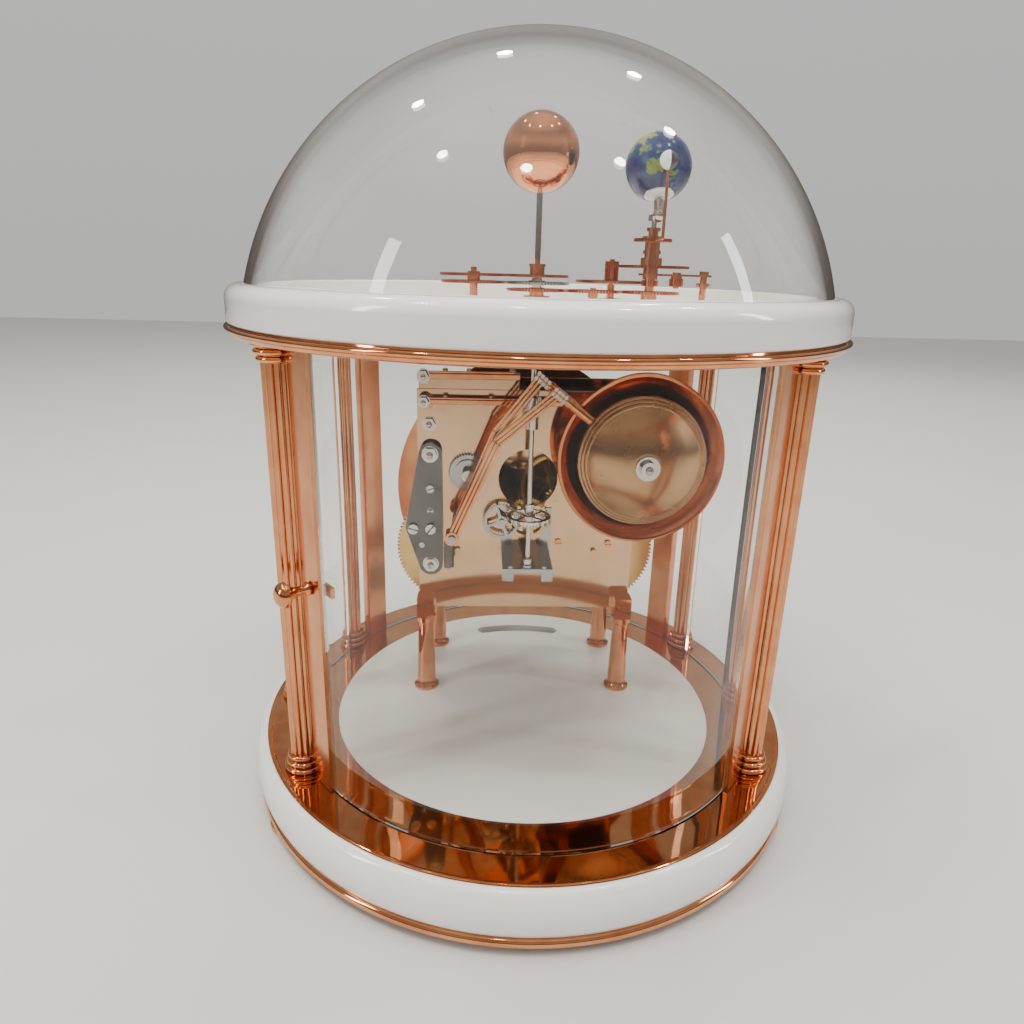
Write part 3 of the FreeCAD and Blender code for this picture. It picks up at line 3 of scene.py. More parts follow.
import json
import logging
import math
from dataclasses import dataclass, field
from enum import Enum
from typing import Callable, Mapping, Optional, Sequence, Union

import bmesh
import bpy
from mathutils import Matrix, Vector


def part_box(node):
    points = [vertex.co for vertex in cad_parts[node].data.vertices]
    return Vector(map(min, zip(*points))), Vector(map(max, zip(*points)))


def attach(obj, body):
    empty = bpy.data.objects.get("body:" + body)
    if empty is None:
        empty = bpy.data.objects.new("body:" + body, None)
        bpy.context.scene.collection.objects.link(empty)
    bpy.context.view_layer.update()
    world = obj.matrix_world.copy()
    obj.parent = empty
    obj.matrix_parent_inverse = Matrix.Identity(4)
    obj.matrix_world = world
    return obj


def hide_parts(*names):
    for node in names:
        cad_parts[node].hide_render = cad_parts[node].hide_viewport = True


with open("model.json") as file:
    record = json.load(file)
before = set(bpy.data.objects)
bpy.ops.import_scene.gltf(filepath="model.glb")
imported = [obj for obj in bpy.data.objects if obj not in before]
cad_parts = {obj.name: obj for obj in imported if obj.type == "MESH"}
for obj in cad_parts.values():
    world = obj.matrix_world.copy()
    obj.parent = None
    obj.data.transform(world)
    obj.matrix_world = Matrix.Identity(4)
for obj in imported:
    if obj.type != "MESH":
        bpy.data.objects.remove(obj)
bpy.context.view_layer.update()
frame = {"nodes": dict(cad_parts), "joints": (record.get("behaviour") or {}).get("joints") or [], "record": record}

LOG = logging.getLogger("orrery")
MM = 0.001
TURN = 2 * math.pi

Point2 = tuple[float, float]
Colour = tuple[float, float, float]


# ---- shader maths --------------------------------------------------------------------------------
class Socket:
    """Output of a shader node that takes part in Python expressions."""

    def __init__(self, owner: "Tree", link: bpy.types.NodeSocket) -> None:
        """Wrap one node output of a tree."""
        self.owner = owner
        self.link = link

    def _with(self, operation: str, left: "Value", right: "Value") -> "Socket":
        """Add the node that combines two values.

        Args:
            operation: ADD, SUBTRACT or MULTIPLY.
            left: The first value.
            right: The second value.

        Returns:
            The node's output.
        """
        kinds = {v.link.type for v in (left, right) if isinstance(v, Socket)}
        if "RGBA" in kinds:
            return self.owner.blend(1.0, left, right, operation)
        if "VECTOR" in kinds:
            return self.owner.vector(operation, left, right)
        return self.owner.math(operation, left, right)

    def __add__(self, other: "Value") -> "Socket":
        """Sum."""
        return self._with("ADD", self, other)

    def __radd__(self, other: "Value") -> "Socket":
        """Sum, with the plain value first."""
        return self._with("ADD", other, self)

    def __sub__(self, other: "Value") -> "Socket":
        """Difference."""
        return self._with("SUBTRACT", self, other)

    def __rsub__(self, other: "Value") -> "Socket":
        """Difference, with the plain value first."""
        return self._with("SUBTRACT", other, self)

    def __mul__(self, other: "Value") -> "Socket":
        """Product."""
        return self._with("MULTIPLY", self, other)

    def __rmul__(self, other: "Value") -> "Socket":
        """Product, with the plain value first."""
        return self._with("MULTIPLY", other, self)


Value = Union[Socket, float, Sequence[float]]


class Tree:
    """Node tree in the making."""

    def __init__(self, tree: bpy.types.NodeTree) -> None:
        """Start with no nodes."""
        self.tree = tree
        self.tree.nodes.clear()

    def add(self, kind: str, settings: Optional[Mapping[str, object]] = None,
            inputs: Optional[Mapping[Union[str, int], Value]] = None) -> bpy.types.Node:
        """Add a node.

        Args:
            kind: Type of the node.
            settings: Its properties, and the stops of a ramp, set before its sockets.
            inputs: Values or links of its sockets.

        Returns:
            The node.
        """
        made = self.tree.nodes.new(kind)
        for name, value in (settings or {}).items():
            if name == "stops":
                self._set_stops(made.color_ramp, value)
            else:
                setattr(made, name, value)
        for key, value in (inputs or {}).items():
            if isinstance(value, Socket):
                self.tree.links.new(value.link, made.inputs[key])
            else:
                made.inputs[key].default_value = value
        return made

    def node(self, kind: str, settings: Optional[Mapping[str, object]] = None,
             inputs: Optional[Mapping[Union[str, int], Value]] = None, output: Union[str, int] = 0) -> Socket:
        """Add a node, as add does, and return its output of that name or number."""
        return Socket(self, self.add(kind, settings, inputs).outputs[output])

    @staticmethod
    def _set_stops(ramp: bpy.types.ColorRamp, stops: Sequence[tuple[float, Colour]]) -> None:
        """Give a ramp its stops, as (place, colour)."""
        while len(ramp.elements) < len(stops):
            ramp.elements.new(0.5)
        for element, (place, colour) in zip(ramp.elements, stops):
            element.position = place
            element.color = (*colour, 1.0)

    def math(self, operation: str, left: Value, right: Value = 0.0) -> Socket:
        """Add a Math node."""
        return self.node("ShaderNodeMath", {"operation": operation}, {0: left, 1: right})

    def vector(self, operation: str, left: Value, right: Value = (0.0, 0.0, 0.0), output: int = 0) -> Socket:
        """Add a Vector Math node; a plain number counts for all three axes."""
        left, right = (v if isinstance(v, Socket) or not isinstance(v, (int, float)) else (v, v, v)
                       for v in (left, right))
        return self.node("ShaderNodeVectorMath", {"operation": operation}, {0: left, 1: right}, output)

    def blend(self, share: Value, first: Value, second: Value, mode: str = "MIX") -> Socket:
        """Mix two colours.

        Args:
            share: Share of the second colour.
            first: Colour or socket.
            second: Colour or socket.
            mode: Blend mode.

        Returns:
            The mixed colour.
        """
        colours = []
        for value in (first, second):
            if isinstance(value, (int, float)):
                value = (value, value, value)
            colours.append(value if isinstance(value, Socket) else (*value[:3], 1.0))
        return self.node("ShaderNodeMix", {"data_type": "RGBA", "blend_type": mode, "clamp_factor": True},
                         {0: share, 6: colours[0], 7: colours[1]}, 2)

    def noise(self, places: Value, scale: float, detail: float = 3.0, rough: float = 0.5) -> Socket:
        """Cloudy noise from 0 to 1.

        Args:
            places: Coordinates.
            scale: Patches per millimetre.
            detail: Octaves.
            rough: Weight of the finer octaves.

        Returns:
            The noise.
        """
        return self.node("ShaderNodeTexNoise", inputs={"Vector": places, "Scale": scale, "Detail": detail,
                                                       "Roughness": rough})

    def ramp(self, share: Socket, stops: Sequence[tuple[float, Colour]]) -> Socket:
        """Colour ramp."""
        return self.node("ShaderNodeValToRGB", {"stops": stops}, {0: share})

    def step(self, value: Socket, low: float, high: float) -> Socket:
        """0 below low and 1 above high, with a smooth passage."""
        return self.node("ShaderNodeMapRange", {"interpolation_type": "SMOOTHSTEP"},
                         {0: value, 1: low, 2: high, 3: 0.0, 4: 1.0})


class Paint(Tree):
    """Node tree of one material, with the Principled shader that it ends in."""

    def __init__(self, name: str) -> None:
        """Start a material of that name."""
        self.material = bpy.data.materials.new(name)
        self.material.use_nodes = True
        super().__init__(self.material.node_tree)
        self.shader = self.add("ShaderNodeBsdfPrincipled")
        surface = Socket(self, self.shader.outputs[0])
        self.output = self.add("ShaderNodeOutputMaterial", inputs={"Surface": surface})

    def places(self) -> Socket:
        """Place on the object at rest, in millimetres."""
        coords = self.node("ShaderNodeTexCoord", output="Object")
        return self.vector("MULTIPLY", coords, 1 / MM)

    def bump(self, height: Socket, depth: float) -> None:
        """Feed the normal with a height map whose 1 stands for a depth in millimetres."""
        self.feed("Normal", self.node("ShaderNodeBump", inputs={"Strength": 1.0, "Distance": depth * MM,
                                                                "Height": height}))

    def feed(self, name: str, value: Value) -> None:
        """Set or link one socket of the shader."""
        if isinstance(value, Socket):
            self.tree.links.new(value.link, self.shader.inputs[name])
        else:
            self.shader.inputs[name].default_value = (*value, 1.0) if name == "Base Color" else value

    def pass_lamps(self) -> None:
        """Let light from lamps straight through, as thin clear glass does."""
        clear = self.node("ShaderNodeBsdfTransparent")
        shadow = self.node("ShaderNodeLightPath", output="Is Shadow Ray")
        mixed = self.node("ShaderNodeMixShader", inputs={0: shadow, 1: Socket(self, self.shader.outputs[0]),
                                                         2: clear})
        self.tree.links.new(mixed.link, self.output.inputs["Surface"])


# ---- finishes ------------------------------------------------------------------------------------
class Grain(Enum):
    """How a metal was finished last."""

    MIRROR = "buffed to a mirror"
    UPRIGHT = "brushed up and down"
    SPUN = "turned on a lathe, about an axis from front to rear"


class Finish:
    """Surface finish that makes its material once."""

    name: str
    _made: dict[str, bpy.types.Material] = {}

    def material(self) -> bpy.types.Material:
        """The finish as a Blender material."""
        if self.name not in self._made:
            paint = Paint(self.name)
            self.paint(paint)
            self._made[self.name] = paint.material
        return self._made[self.name]

    def paint(self, paint: Paint) -> None:
        """Fill the node tree."""
        raise NotImplementedError


@dataclass(frozen=True)
class Plated(Finish):
    """Plated or plain metal with faint handling marks and the grain of its last finish."""

    name: str
    colour: Colour
    shade: Colour
    rough: float
    spread: float = 0.05
    grain: Grain = Grain.MIRROR
    grain_depth: float = 0.0015
    centre: Point2 = (0.0, 0.0)
    patch: float = 0.06

    def _lines(self, paint: Paint, places: Socket) -> Socket:
        """Fine lines that the grain leaves.

        Args:
            paint: The tree to build in.
            places: Millimetres on the object.

        Returns:
            Height of the lines from 0 to 1.
        """
        if self.grain is Grain.SPUN:
            x, z = self.centre
            radius = paint.vector("LENGTH", (places - (x, 0.0, z)) * (1.0, 0.0, 1.0), output=1)
            line = paint.node("ShaderNodeCombineXYZ", inputs={0: radius, 1: 0.0, 2: 0.0})
            return paint.noise(line, 2.6, 4.0, 0.7)
        stretch, scale = ((1.0, 1.0, 1.0), 0.5) if self.grain is Grain.MIRROR else ((1.0, 1.0, 0.012), 3.0)
        return paint.noise(places * stretch, scale, 4.0, 0.65)

    def paint(self, paint: Paint) -> None:
        """Metal with patchy gloss, grain in its normal and a deeper tone in patches."""
        places = paint.places()
        patches = paint.noise(places, self.patch, 4.0, 0.6)
        lines = self._lines(paint, places)
        worn = paint.step(patches, 0.35, 0.7)
        paint.feed("Base Color", paint.blend(worn * 0.55 + lines * 0.25, self.colour, self.shade))
        paint.feed("Metallic", 1.0)
        paint.feed("Roughness", self.rough + (worn + lines - 0.8) * self.spread)
        paint.bump(lines, self.grain_depth)


@dataclass(frozen=True)
class Lacquer(Finish):
    """Deep gloss lacquer with a trace of orange peel."""

    name: str
    colour: Colour
    rough: float = 0.16
    peel: float = 0.012

    def paint(self, paint: Paint) -> None:
        """Nearly even colour, soft unevenness and a hard clear coat."""
        places = paint.places()
        cloud = paint.noise(places, 0.018, 3.0)
        peel = paint.noise(places, 0.55, 2.0)
        darker = tuple(c * 0.95 for c in self.colour)
        paint.feed("Base Color", paint.blend(cloud, self.colour, darker))
        paint.feed("Roughness", self.rough + cloud * 0.05)
        paint.feed("Coat Weight", 0.8)
        paint.feed("Coat Roughness", 0.03)
        paint.bump(peel, self.peel)


@dataclass(frozen=True)
class ClearGlass(Finish):
    """Clear glass with the slow waves of blown or bent glass."""

    name: str
    tint: Colour = (0.985, 0.995, 0.99)
    wave: float = 0.05
    wave_scale: float = 0.02
    bending: float = 1.46

    def paint(self, paint: Paint) -> None:
        """Glass that bends light, with faint waves and a few wiping marks."""
        places = paint.places()
        wave = paint.noise(places * (1.0, 1.0, 0.35), self.wave_scale, 1.0)
        wiped = paint.step(paint.noise(places * (1.0, 1.0, 0.3), 0.05, 3.0), 0.6, 0.9)
        paint.feed("Base Color", self.tint)
        paint.feed("Transmission Weight", 1.0)
        paint.feed("IOR", self.bending)
        paint.feed("Roughness", wiped * 0.02)
        paint.bump(wave, self.wave)
        paint.pass_lamps()


@dataclass(frozen=True)
class Ink(Finish):
    """Printed or blued dark colour; the dial ink also stands in for the shade inside the winding holes."""

    name: str
    colour: Colour
    rough: float = 0.35
    metal: float = 0.0

    def paint(self, paint: Paint) -> None:
        """Dark colour with a slightly uneven surface."""
        places = paint.places()
        grain = paint.noise(places, 1.5, 3.0)
        lighter = tuple(c * 1.5 + 0.004 for c in self.colour)
        paint.feed("Base Color", paint.blend(grain, self.colour, lighter))
        paint.feed("Metallic", self.metal)
        paint.feed("Roughness", self.rough + grain * 0.1)
        paint.bump(grain, 0.004)


@dataclass(frozen=True)
class Land:
    """One land mass: its middle, its reach, and how dry it is."""

    east: float
    north: float
    reach: float
    dry: float = 0.0

    def direction(self) -> Vector:
        """Unit vector of its middle, with north along Z."""
        a, b = math.radians(self.east), math.radians(self.north)
        return Vector((math.cos(a) * math.cos(b), math.sin(a) * math.cos(b), math.sin(b)))


@dataclass(frozen=True)
class EarthEnamel(Finish):
    """Deep blue enamel globe with green and ochre lands and pale polar caps."""

    name: str
    centre: Vector
    pole: Vector
    face: float
    ragged: float = 4.2
    steep: float = 11.0
    sea: Colour = (0.001, 0.006, 0.055)
    shallow: Colour = (0.003, 0.02, 0.11)
    green: Colour = (0.04, 0.14, 0.012)
    ochre: Colour = (0.36, 0.21, 0.03)
    ice: Colour = (0.66, 0.68, 0.70)
    lands: tuple[Land, ...] = (
        Land(-100, 52, 24), Land(-85, 66, 16), Land(-104, 34, 14, 0.6), Land(-90, 18, 7, 0.2),
        Land(-62, -4, 19), Land(-58, -20, 13, 0.3), Land(-68, -40, 9, 0.7), Land(-40, 73, 12, 1.0),
        Land(8, 20, 23, 1.0), Land(22, -2, 19, 0.1), Land(25, -22, 13, 0.6), Land(47, -19, 5),
        Land(15, 52, 14), Land(45, 58, 20, 0.1), Land(45, 27, 12, 1.0), Land(78, 24, 12, 0.4),
        Land(75, 60, 24, 0.2), Land(105, 58, 24, 0.3), Land(102, 34, 17, 0.7), Land(112, 2, 9),
        Land(128, 42, 9), Land(124, -26, 11, 0.9), Land(142, -25, 12, 0.8), Land(141, -6, 5),
        Land(172, -42, 5))

    def paint(self, paint: Paint) -> None:
        """Lands where a place is near one of the middles, with ragged coasts."""
        places = paint.places()
        turn = self.pole.rotation_difference(Vector((0, 0, 1))).to_matrix()
        spin = Matrix.Rotation(math.radians(self.face), 3, "Z")
        out = paint.vector("NORMALIZE", places - tuple(self.centre / MM))
        coast = (paint.noise(out, 3.4, 7.0, 0.68) - 0.5) * self.ragged
        land: Value = -1.0
        dry: Value = 0.0
        for mass in self.lands:
            middle = turn.transposed() @ (spin @ mass.direction())
            near = paint.vector("DOT_PRODUCT", out, tuple(middle), 1)
            edge = math.cos(math.radians(mass.reach))
            inside = (near - edge) * self.steep
            land = paint.math("MAXIMUM", inside, land)
            dry = paint.math("MAXIMUM", paint.step(inside, -0.1, 0.7) * mass.dry, dry)
        height = land + coast
        shore = paint.step(height, -0.03, 0.06)
        north = paint.math("ABSOLUTE", paint.vector("DOT_PRODUCT", out, tuple(self.pole), 1))
        south = paint.vector("DOT_PRODUCT", out, tuple(-self.pole), 1)
        ice = paint.step(paint.math("MAXIMUM", south + 0.03, north - 0.035) + coast * 0.012, 0.915, 0.935)
        shallow = paint.step(height, -1.2, 0.0)
        ground = paint.blend(dry * 0.8 + paint.noise(out, 7.0, 4.0) * 0.5 - 0.15, self.green, self.ochre)
        water = paint.blend(shallow * 0.7, self.sea, self.shallow)
        paint.feed("Base Color", paint.blend(ice, paint.blend(shore, water, ground), self.ice))
        paint.feed("Roughness", 0.16 + shore * 0.14)
        paint.feed("Coat Weight", 0.2)
        paint.feed("Coat Roughness", 0.05)
        paint.bump(shore, 0.02)


@dataclass(frozen=True)
class MoonEnamel(Finish):
    """Ball that is white on its lit side and black on the other."""

    name: str
    centre: Vector
    lit: Vector

    def paint(self, paint: Paint) -> None:
        """Two tones that meet on a great circle, with faint mottling."""
        places = paint.places()
        out = paint.vector("NORMALIZE", places - tuple(self.centre / MM))
        side = paint.vector("DOT_PRODUCT", out, tuple(self.lit), 1)
        mottle = paint.noise(places, 0.9, 4.0)
        white = paint.blend(paint.step(mottle, 0.4, 0.65), (0.80, 0.79, 0.76), (0.62, 0.61, 0.59))
        black = paint.blend(mottle, (0.012, 0.012, 0.014), (0.03, 0.03, 0.034))
        paint.feed("Base Color", paint.blend(paint.step(side, -0.02, 0.02), black, white))
        paint.feed("Roughness", 0.16 + mottle * 0.1)
        paint.feed("Coat Weight", 0.1)
        paint.bump(mottle, 0.01)


ROSE: Colour = (0.86, 0.40, 0.19)
ROSE_DEEP: Colour = (0.62, 0.22, 0.09)
MIRROR_ROSE = Plated("mirror rose gold", ROSE, ROSE_DEEP, 0.05, 0.03)
POLISHED_ROSE = Plated("polished rose gold", ROSE, ROSE_DEEP, 0.10, 0.05)
BRUSHED_ROSE = Plated("brushed rose gold", (0.78, 0.37, 0.18), ROSE_DEEP, 0.17, 0.06, Grain.UPRIGHT, 0.0012)
PLATE_ROSE = Plated("movement plate gold", (0.76, 0.49, 0.30), (0.62, 0.36, 0.20), 0.06, 0.03, patch=0.03)
COPPER_SUN = Plated("buffed copper", (0.80, 0.33, 0.15), (0.66, 0.23, 0.10), 0.06, 0.03)
WHEEL_ROSE = Plated("wheel gold", (0.78, 0.33, 0.17), (0.58, 0.20, 0.10), 0.16, 0.06)
WHEEL_BRASS = Plated("wheel brass", (0.80, 0.52, 0.20), (0.62, 0.36, 0.12), 0.17, 0.06)
STEEL = Plated("polished steel", (0.50, 0.48, 0.46), (0.34, 0.33, 0.31), 0.13, 0.06, Grain.UPRIGHT, 0.0015)
# Steel darkened well below its real tone: a painted reflection of dark surroundings, for the mirror-polished
# strike cock.
PAINTED_REFLECTION_STEEL = Plated("steel darkened as painted reflection", (0.15, 0.14, 0.135), (0.10, 0.095, 0.09), 0.06, 0.03)
NICKEL = Plated("bright nickel", (0.74, 0.70, 0.64), (0.52, 0.48, 0.43), 0.09, 0.05)
BELL_CENTRE: Point2 = (56.0, 170.0)
BELL_RED = Plated("large bell bronze", (0.74, 0.27, 0.11), (0.46, 0.12, 0.04), 0.13, 0.06, Grain.SPUN, 0.003,
                  BELL_CENTRE)
BELL_BROWN = Plated("small bell bronze", (0.56, 0.33, 0.17), (0.40, 0.21, 0.10), 0.24, 0.08, Grain.SPUN,
                    0.004, BELL_CENTRE)
WHITE_LACQUER = Lacquer("white lacquer", (0.84, 0.825, 0.79))
FLOOR_LACQUER = Lacquer("floor lacquer", (0.80, 0.78, 0.73), 0.22, 0.02)
DIAL_LACQUER = Lacquer("dial lacquer", (0.82, 0.80, 0.74), 0.4, 0.006)
DOME_GLASS = ClearGlass("dome glass", (0.99, 0.995, 0.99), 0.10, 0.012)
PANE_GLASS = ClearGlass("pane glass", (0.97, 0.99, 0.98), 0.015, 0.02, 1.3)
BLUED = Ink("blued steel", (0.012, 0.016, 0.05), 0.22, 1.0)
# Black for the printing, and also painted shade for the winding hole discs.
DIAL_INK_AND_HOLE_SHADE = Ink("dial ink and hole shade", (0.012, 0.011, 0.011), 0.45)


# ---- mesh building -------------------------------------------------------------------------------
def corner_round(outline: Sequence[Point2], radius: float, steps: int = 3) -> list[Point2]:
    """Round the corners of a closed outline.

    Args:
        outline: Corners in order.
        radius: How far from a corner its bend starts.
        steps: Straight pieces in a bend.

    Returns:
        The longer outline.
    """
    made = []
    count = len(outline)
    for k, (x, y) in enumerate(outline):
        ends = []
        for other in (outline[k - 1], outline[(k + 1) % count]):
            dx, dy = other[0] - x, other[1] - y
            length = math.hypot(dx, dy)
            cut = min(radius, length * 0.4)
            ends.append((x + dx * cut / length, y + dy * cut / length))
        for i in range(steps + 1):
            t = i / steps
            a, b, c = (1 - t) ** 2, 2 * t * (1 - t), t * t
            made.append((a * ends[0][0] + b * x + c * ends[1][0], a * ends[0][1] + b * y + c * ends[1][1]))
    return made


def bend(start: Point2, end: Point2, bulge: float, steps: int = 12) -> list[Point2]:
    """Points of an arc.

    Args:
        start: First point.
        end: Last point.
        bulge: Height of the arc over its chord, to the right of the way from start to end.
        steps: Straight pieces.

    Returns:
        The points, both ends included.
    """
    dx, dy = end[0] - start[0], end[1] - start[1]
    chord = math.hypot(dx, dy)
    nx, ny = dy / chord, -dx / chord
    radius = (chord * chord / 4 + bulge * bulge) / (2 * abs(bulge))
    half = math.asin(min(1.0, chord / 2 / radius))
    if abs(bulge) > chord / 2:
        half = math.pi - half
    sign = math.copysign(1.0, bulge)
    points = []
    for k in range(steps + 1):
        a = half * (2 * k / steps - 1)
        along = 0.5 + radius * math.sin(a) / chord
        out = sign * (radius * math.cos(a) - radius + abs(bulge))
        points.append((start[0] + dx * along + nx * out, start[1] + dy * along + ny * out))
    return points


def shift(x: float = 0.0, y: float = 0.0, z: float = 0.0) -> Matrix:
    """Move, in millimetres."""
    return Matrix.Translation((x, y, z))


def facing_rear(x: float, y: float, z: float) -> Matrix:
    """Stand a piece that is built along Z so that its top points to the rear."""
    return shift(x, y, z) @ Matrix.Rotation(math.pi / 2, 4, "X")


def facing_front(x: float, y: float, z: float) -> Matrix:
    """Stand a piece that is built along Z so that its top points to the front."""
    return shift(x, y, z) @ Matrix.Rotation(-math.pi / 2, 4, "X")


def along(start: Vector, end: Vector) -> Matrix:
    """Place a piece that is built along Z from start towards end."""
    turn = (end - start).to_track_quat("Z", "Y").to_matrix().to_4x4()
    return Matrix.Translation(start) @ turn


class Shell:
    """Mesh in the making, in millimetres of the frame."""

    def __init__(self) -> None:
        """Start with nothing."""
        self.mesh = bmesh.new()

    def _add(self, rings: Sequence[Sequence[Vector]], closed: bool, caps: bool) -> None:
        """Join rings of points by quads.

        Args:
            rings: Rings with equal numbers of points.
            closed: Join the last ring to the first.
            caps: Close the first and last rings by faces.
        """
        made = [[self.mesh.verts.new(p) for p in ring] for ring in rings]
        pairs = list(zip(made, made[1:] + made[:1])) if closed else list(zip(made, made[1:]))
        for low, high in pairs:
            for k in range(len(low)):
                n = (k + 1) % len(low)
                self.mesh.faces.new((low[k], low[n], high[n], high[k]))
        if caps and not closed:
            self.mesh.faces.new(list(reversed(made[0])))
            self.mesh.faces.new(made[-1])

    def lathe(self, outline: Sequence[Point2], place: Matrix = Matrix(), steps: int = 128,
              start: float = 0.0, sweep: float = 360.0,
              swell: Optional[Callable[[float], float]] = None) -> "Shell":
        """Turn a closed outline of (radius, height) about Z.

        Args:
            outline: The outline.
            place: Where the piece goes.
            steps: Pieces round a full turn.
            start: First angle, from the rear towards +X, in degrees.
            sweep: Angle turned through, in degrees.
            swell: What to add to the radius at an angle in radians.

        Returns:
            This shell.
        """
        full = abs(sweep - 360.0) < 1e-6
        count = max(3, round(steps * sweep / 360.0))
        rings = []
        for k in range(count if full else count + 1):
            a = math.radians(start + sweep * k / count)
            grow = swell(a) if swell else 0.0
            c, s = math.sin(a), -math.cos(a)
            rings.append([place @ Vector(((r + grow * (r > 0)) * c, (r + grow * (r > 0)) * s, z))
                          for r, z in outline])
        self._add(rings, full, not full)
        return self

    def prism(self, outline: Sequence[Point2], depth: float, place: Matrix = Matrix()) -> "Shell":
        """Extrude a flat outline upwards by a depth."""
        rings = [[place @ Vector((x, y, z)) for x, y in outline] for z in (0.0, depth)]
        self._add(rings, False, True)
        return self

    def block(self, size: Sequence[float], place: Matrix = Matrix()) -> "Shell":
        """Block centred on its place."""
        x, y, z = (s / 2 for s in size)
        return self.prism(((-x, -y), (x, -y), (x, y), (-x, y)), 2 * z, place @ shift(0, 0, -z))

    def rod(self, start: Sequence[float], end: Sequence[float], radius: float, steps: int = 24,
            edge: float = 0.0) -> "Shell":
        """Round bar between two points, with rounded edges when asked."""
        first, last = Vector(start), Vector(end)
        length = (last - first).length
        outline: list[Point2] = [(0, 0), (radius, 0), (radius, length), (0, length)]
        if edge:
            low = corner_round(outline, edge)
            outline = [(0, 0)] + [p for p in low if p[0] > radius * 0.3] + [(0, length)]
        return self.lathe(outline, along(first, last), steps)

    def ball(self, centre: Sequence[float], radius: float, steps: int = 48) -> "Shell":
        """Ball with its poles along Z."""
        half = steps // 2
        arc = [(radius * math.sin(math.pi * k / half), -radius * math.cos(math.pi * k / half))
               for k in range(half + 1)]
        arc[0], arc[-1] = (0.0, -radius), (0.0, radius)
        return self.lathe(arc, Matrix.Translation(Vector(centre)), steps)

    def coil(self, centre: Sequence[float], radius: float, wire: float, pitch: float, turns: float,
             steps: int = 20, sides: int = 8) -> "Shell":
        """Helical spring that rises along Z from its centre."""
        rings = []
        total = round(turns * steps)
        for k in range(total + 1):
            a = TURN * k / steps
            out = Vector((math.cos(a), math.sin(a), 0))
            middle = Vector(centre) + out * radius + Vector((0, 0, pitch * k / steps))
            rings.append([middle + out * wire * math.cos(TURN * i / sides)
                          + Vector((0, 0, wire * math.sin(TURN * i / sides))) for i in range(sides)])
        self._add(rings, False, True)
        return self

    def piece(self, name: str, body: str, slot: str, finish: Finish, replaces: Sequence[str] = (),
              crease: float = 32.0, edge: float = 0.0) -> bpy.types.Object:
        """Finish the mesh as an object that rides on a body.

        Args:
            name: Name of the piece.
            body: Body that it moves with.
            slot: Material slot of the record; not used.
            finish: Its finish.
            replaces: Nodes that it stands for.
            crease: Angle above which an edge stays sharp, in degrees.
            edge: Width of the bevel on its edges, in millimetres.

        Returns:
            The object.
        """
        bmesh.ops.remove_doubles(self.mesh, verts=self.mesh.verts, dist=1e-5)
        bmesh.ops.dissolve_degenerate(self.mesh, edges=self.mesh.edges, dist=1e-6)
        bmesh.ops.recalc_face_normals(self.mesh, faces=self.mesh.faces)
        bmesh.ops.scale(self.mesh, vec=(MM, MM, MM), verts=self.mesh.verts)
        data = bpy.data.meshes.new(name)
        self.mesh.to_mesh(data)
        self.mesh.free()
        made = bpy.data.objects.new(name.replace(" ", "_"), data)
        bpy.context.scene.collection.objects.link(made)
        for polygon in data.polygons:
            polygon.use_smooth = True
        data.set_sharp_from_angle(angle=math.radians(crease))
        if edge:
            bevel = made.modifiers.new("edge", "BEVEL")
            bevel.width = edge * MM
            bevel.segments = 2
            bevel.limit_method = "ANGLE"
            bevel.angle_limit = math.radians(crease)
        data.materials.append(finish.material())
        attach(made, body)
        if replaces:
            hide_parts(*replaces)
        LOG.info("%s rides on %s%s", name, body, " for " + ", ".join(replaces) if replaces else "")
        return made


def dress(node: str, finish: Finish) -> None:
    """Give a node of the frame its finish."""
    piece = frame["nodes"][node]
    if not piece.data.materials:
        piece.data.materials.append(finish.material())
    for place in piece.material_slots:
        place.material = finish.material()
    LOG.info("%s keeps its shape, in %s", node, finish.name)


@dataclass(frozen=True)
class Span:
    """Box of a node, in millimetres."""

    low: Vector
    high: Vector

    @classmethod
    def of(cls, node: str) -> "Span":
        """Box of one node at rest."""
        low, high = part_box(node)
        return cls(low / MM, high / MM)

    @property
    def middle(self) -> Vector:
        """Centre of the box."""
        return (self.low + self.high) / 2

    @property
    def size(self) -> Vector:
        """Extent of the box."""
        return self.high - self.low


def joint_place(name: str) -> Vector:
    """A point on a joint's axis, in millimetres."""
    joint = next(j for j in frame["joints"] if j["name"] == name)
    return Vector(joint["pos_m"]) / MM


def joint_axis(name: str) -> Vector:
    """Unit vector along a joint's axis."""
    joint = next(j for j in frame["joints"] if j["name"] == name)
    return Vector(joint["axis"]).normalized()


def at(radius: float, angle: float) -> Point2:
    """Plan point at an angle from the rear towards +X, in degrees."""
    a = math.radians(angle)
    return radius * math.sin(a), -radius * math.cos(a)


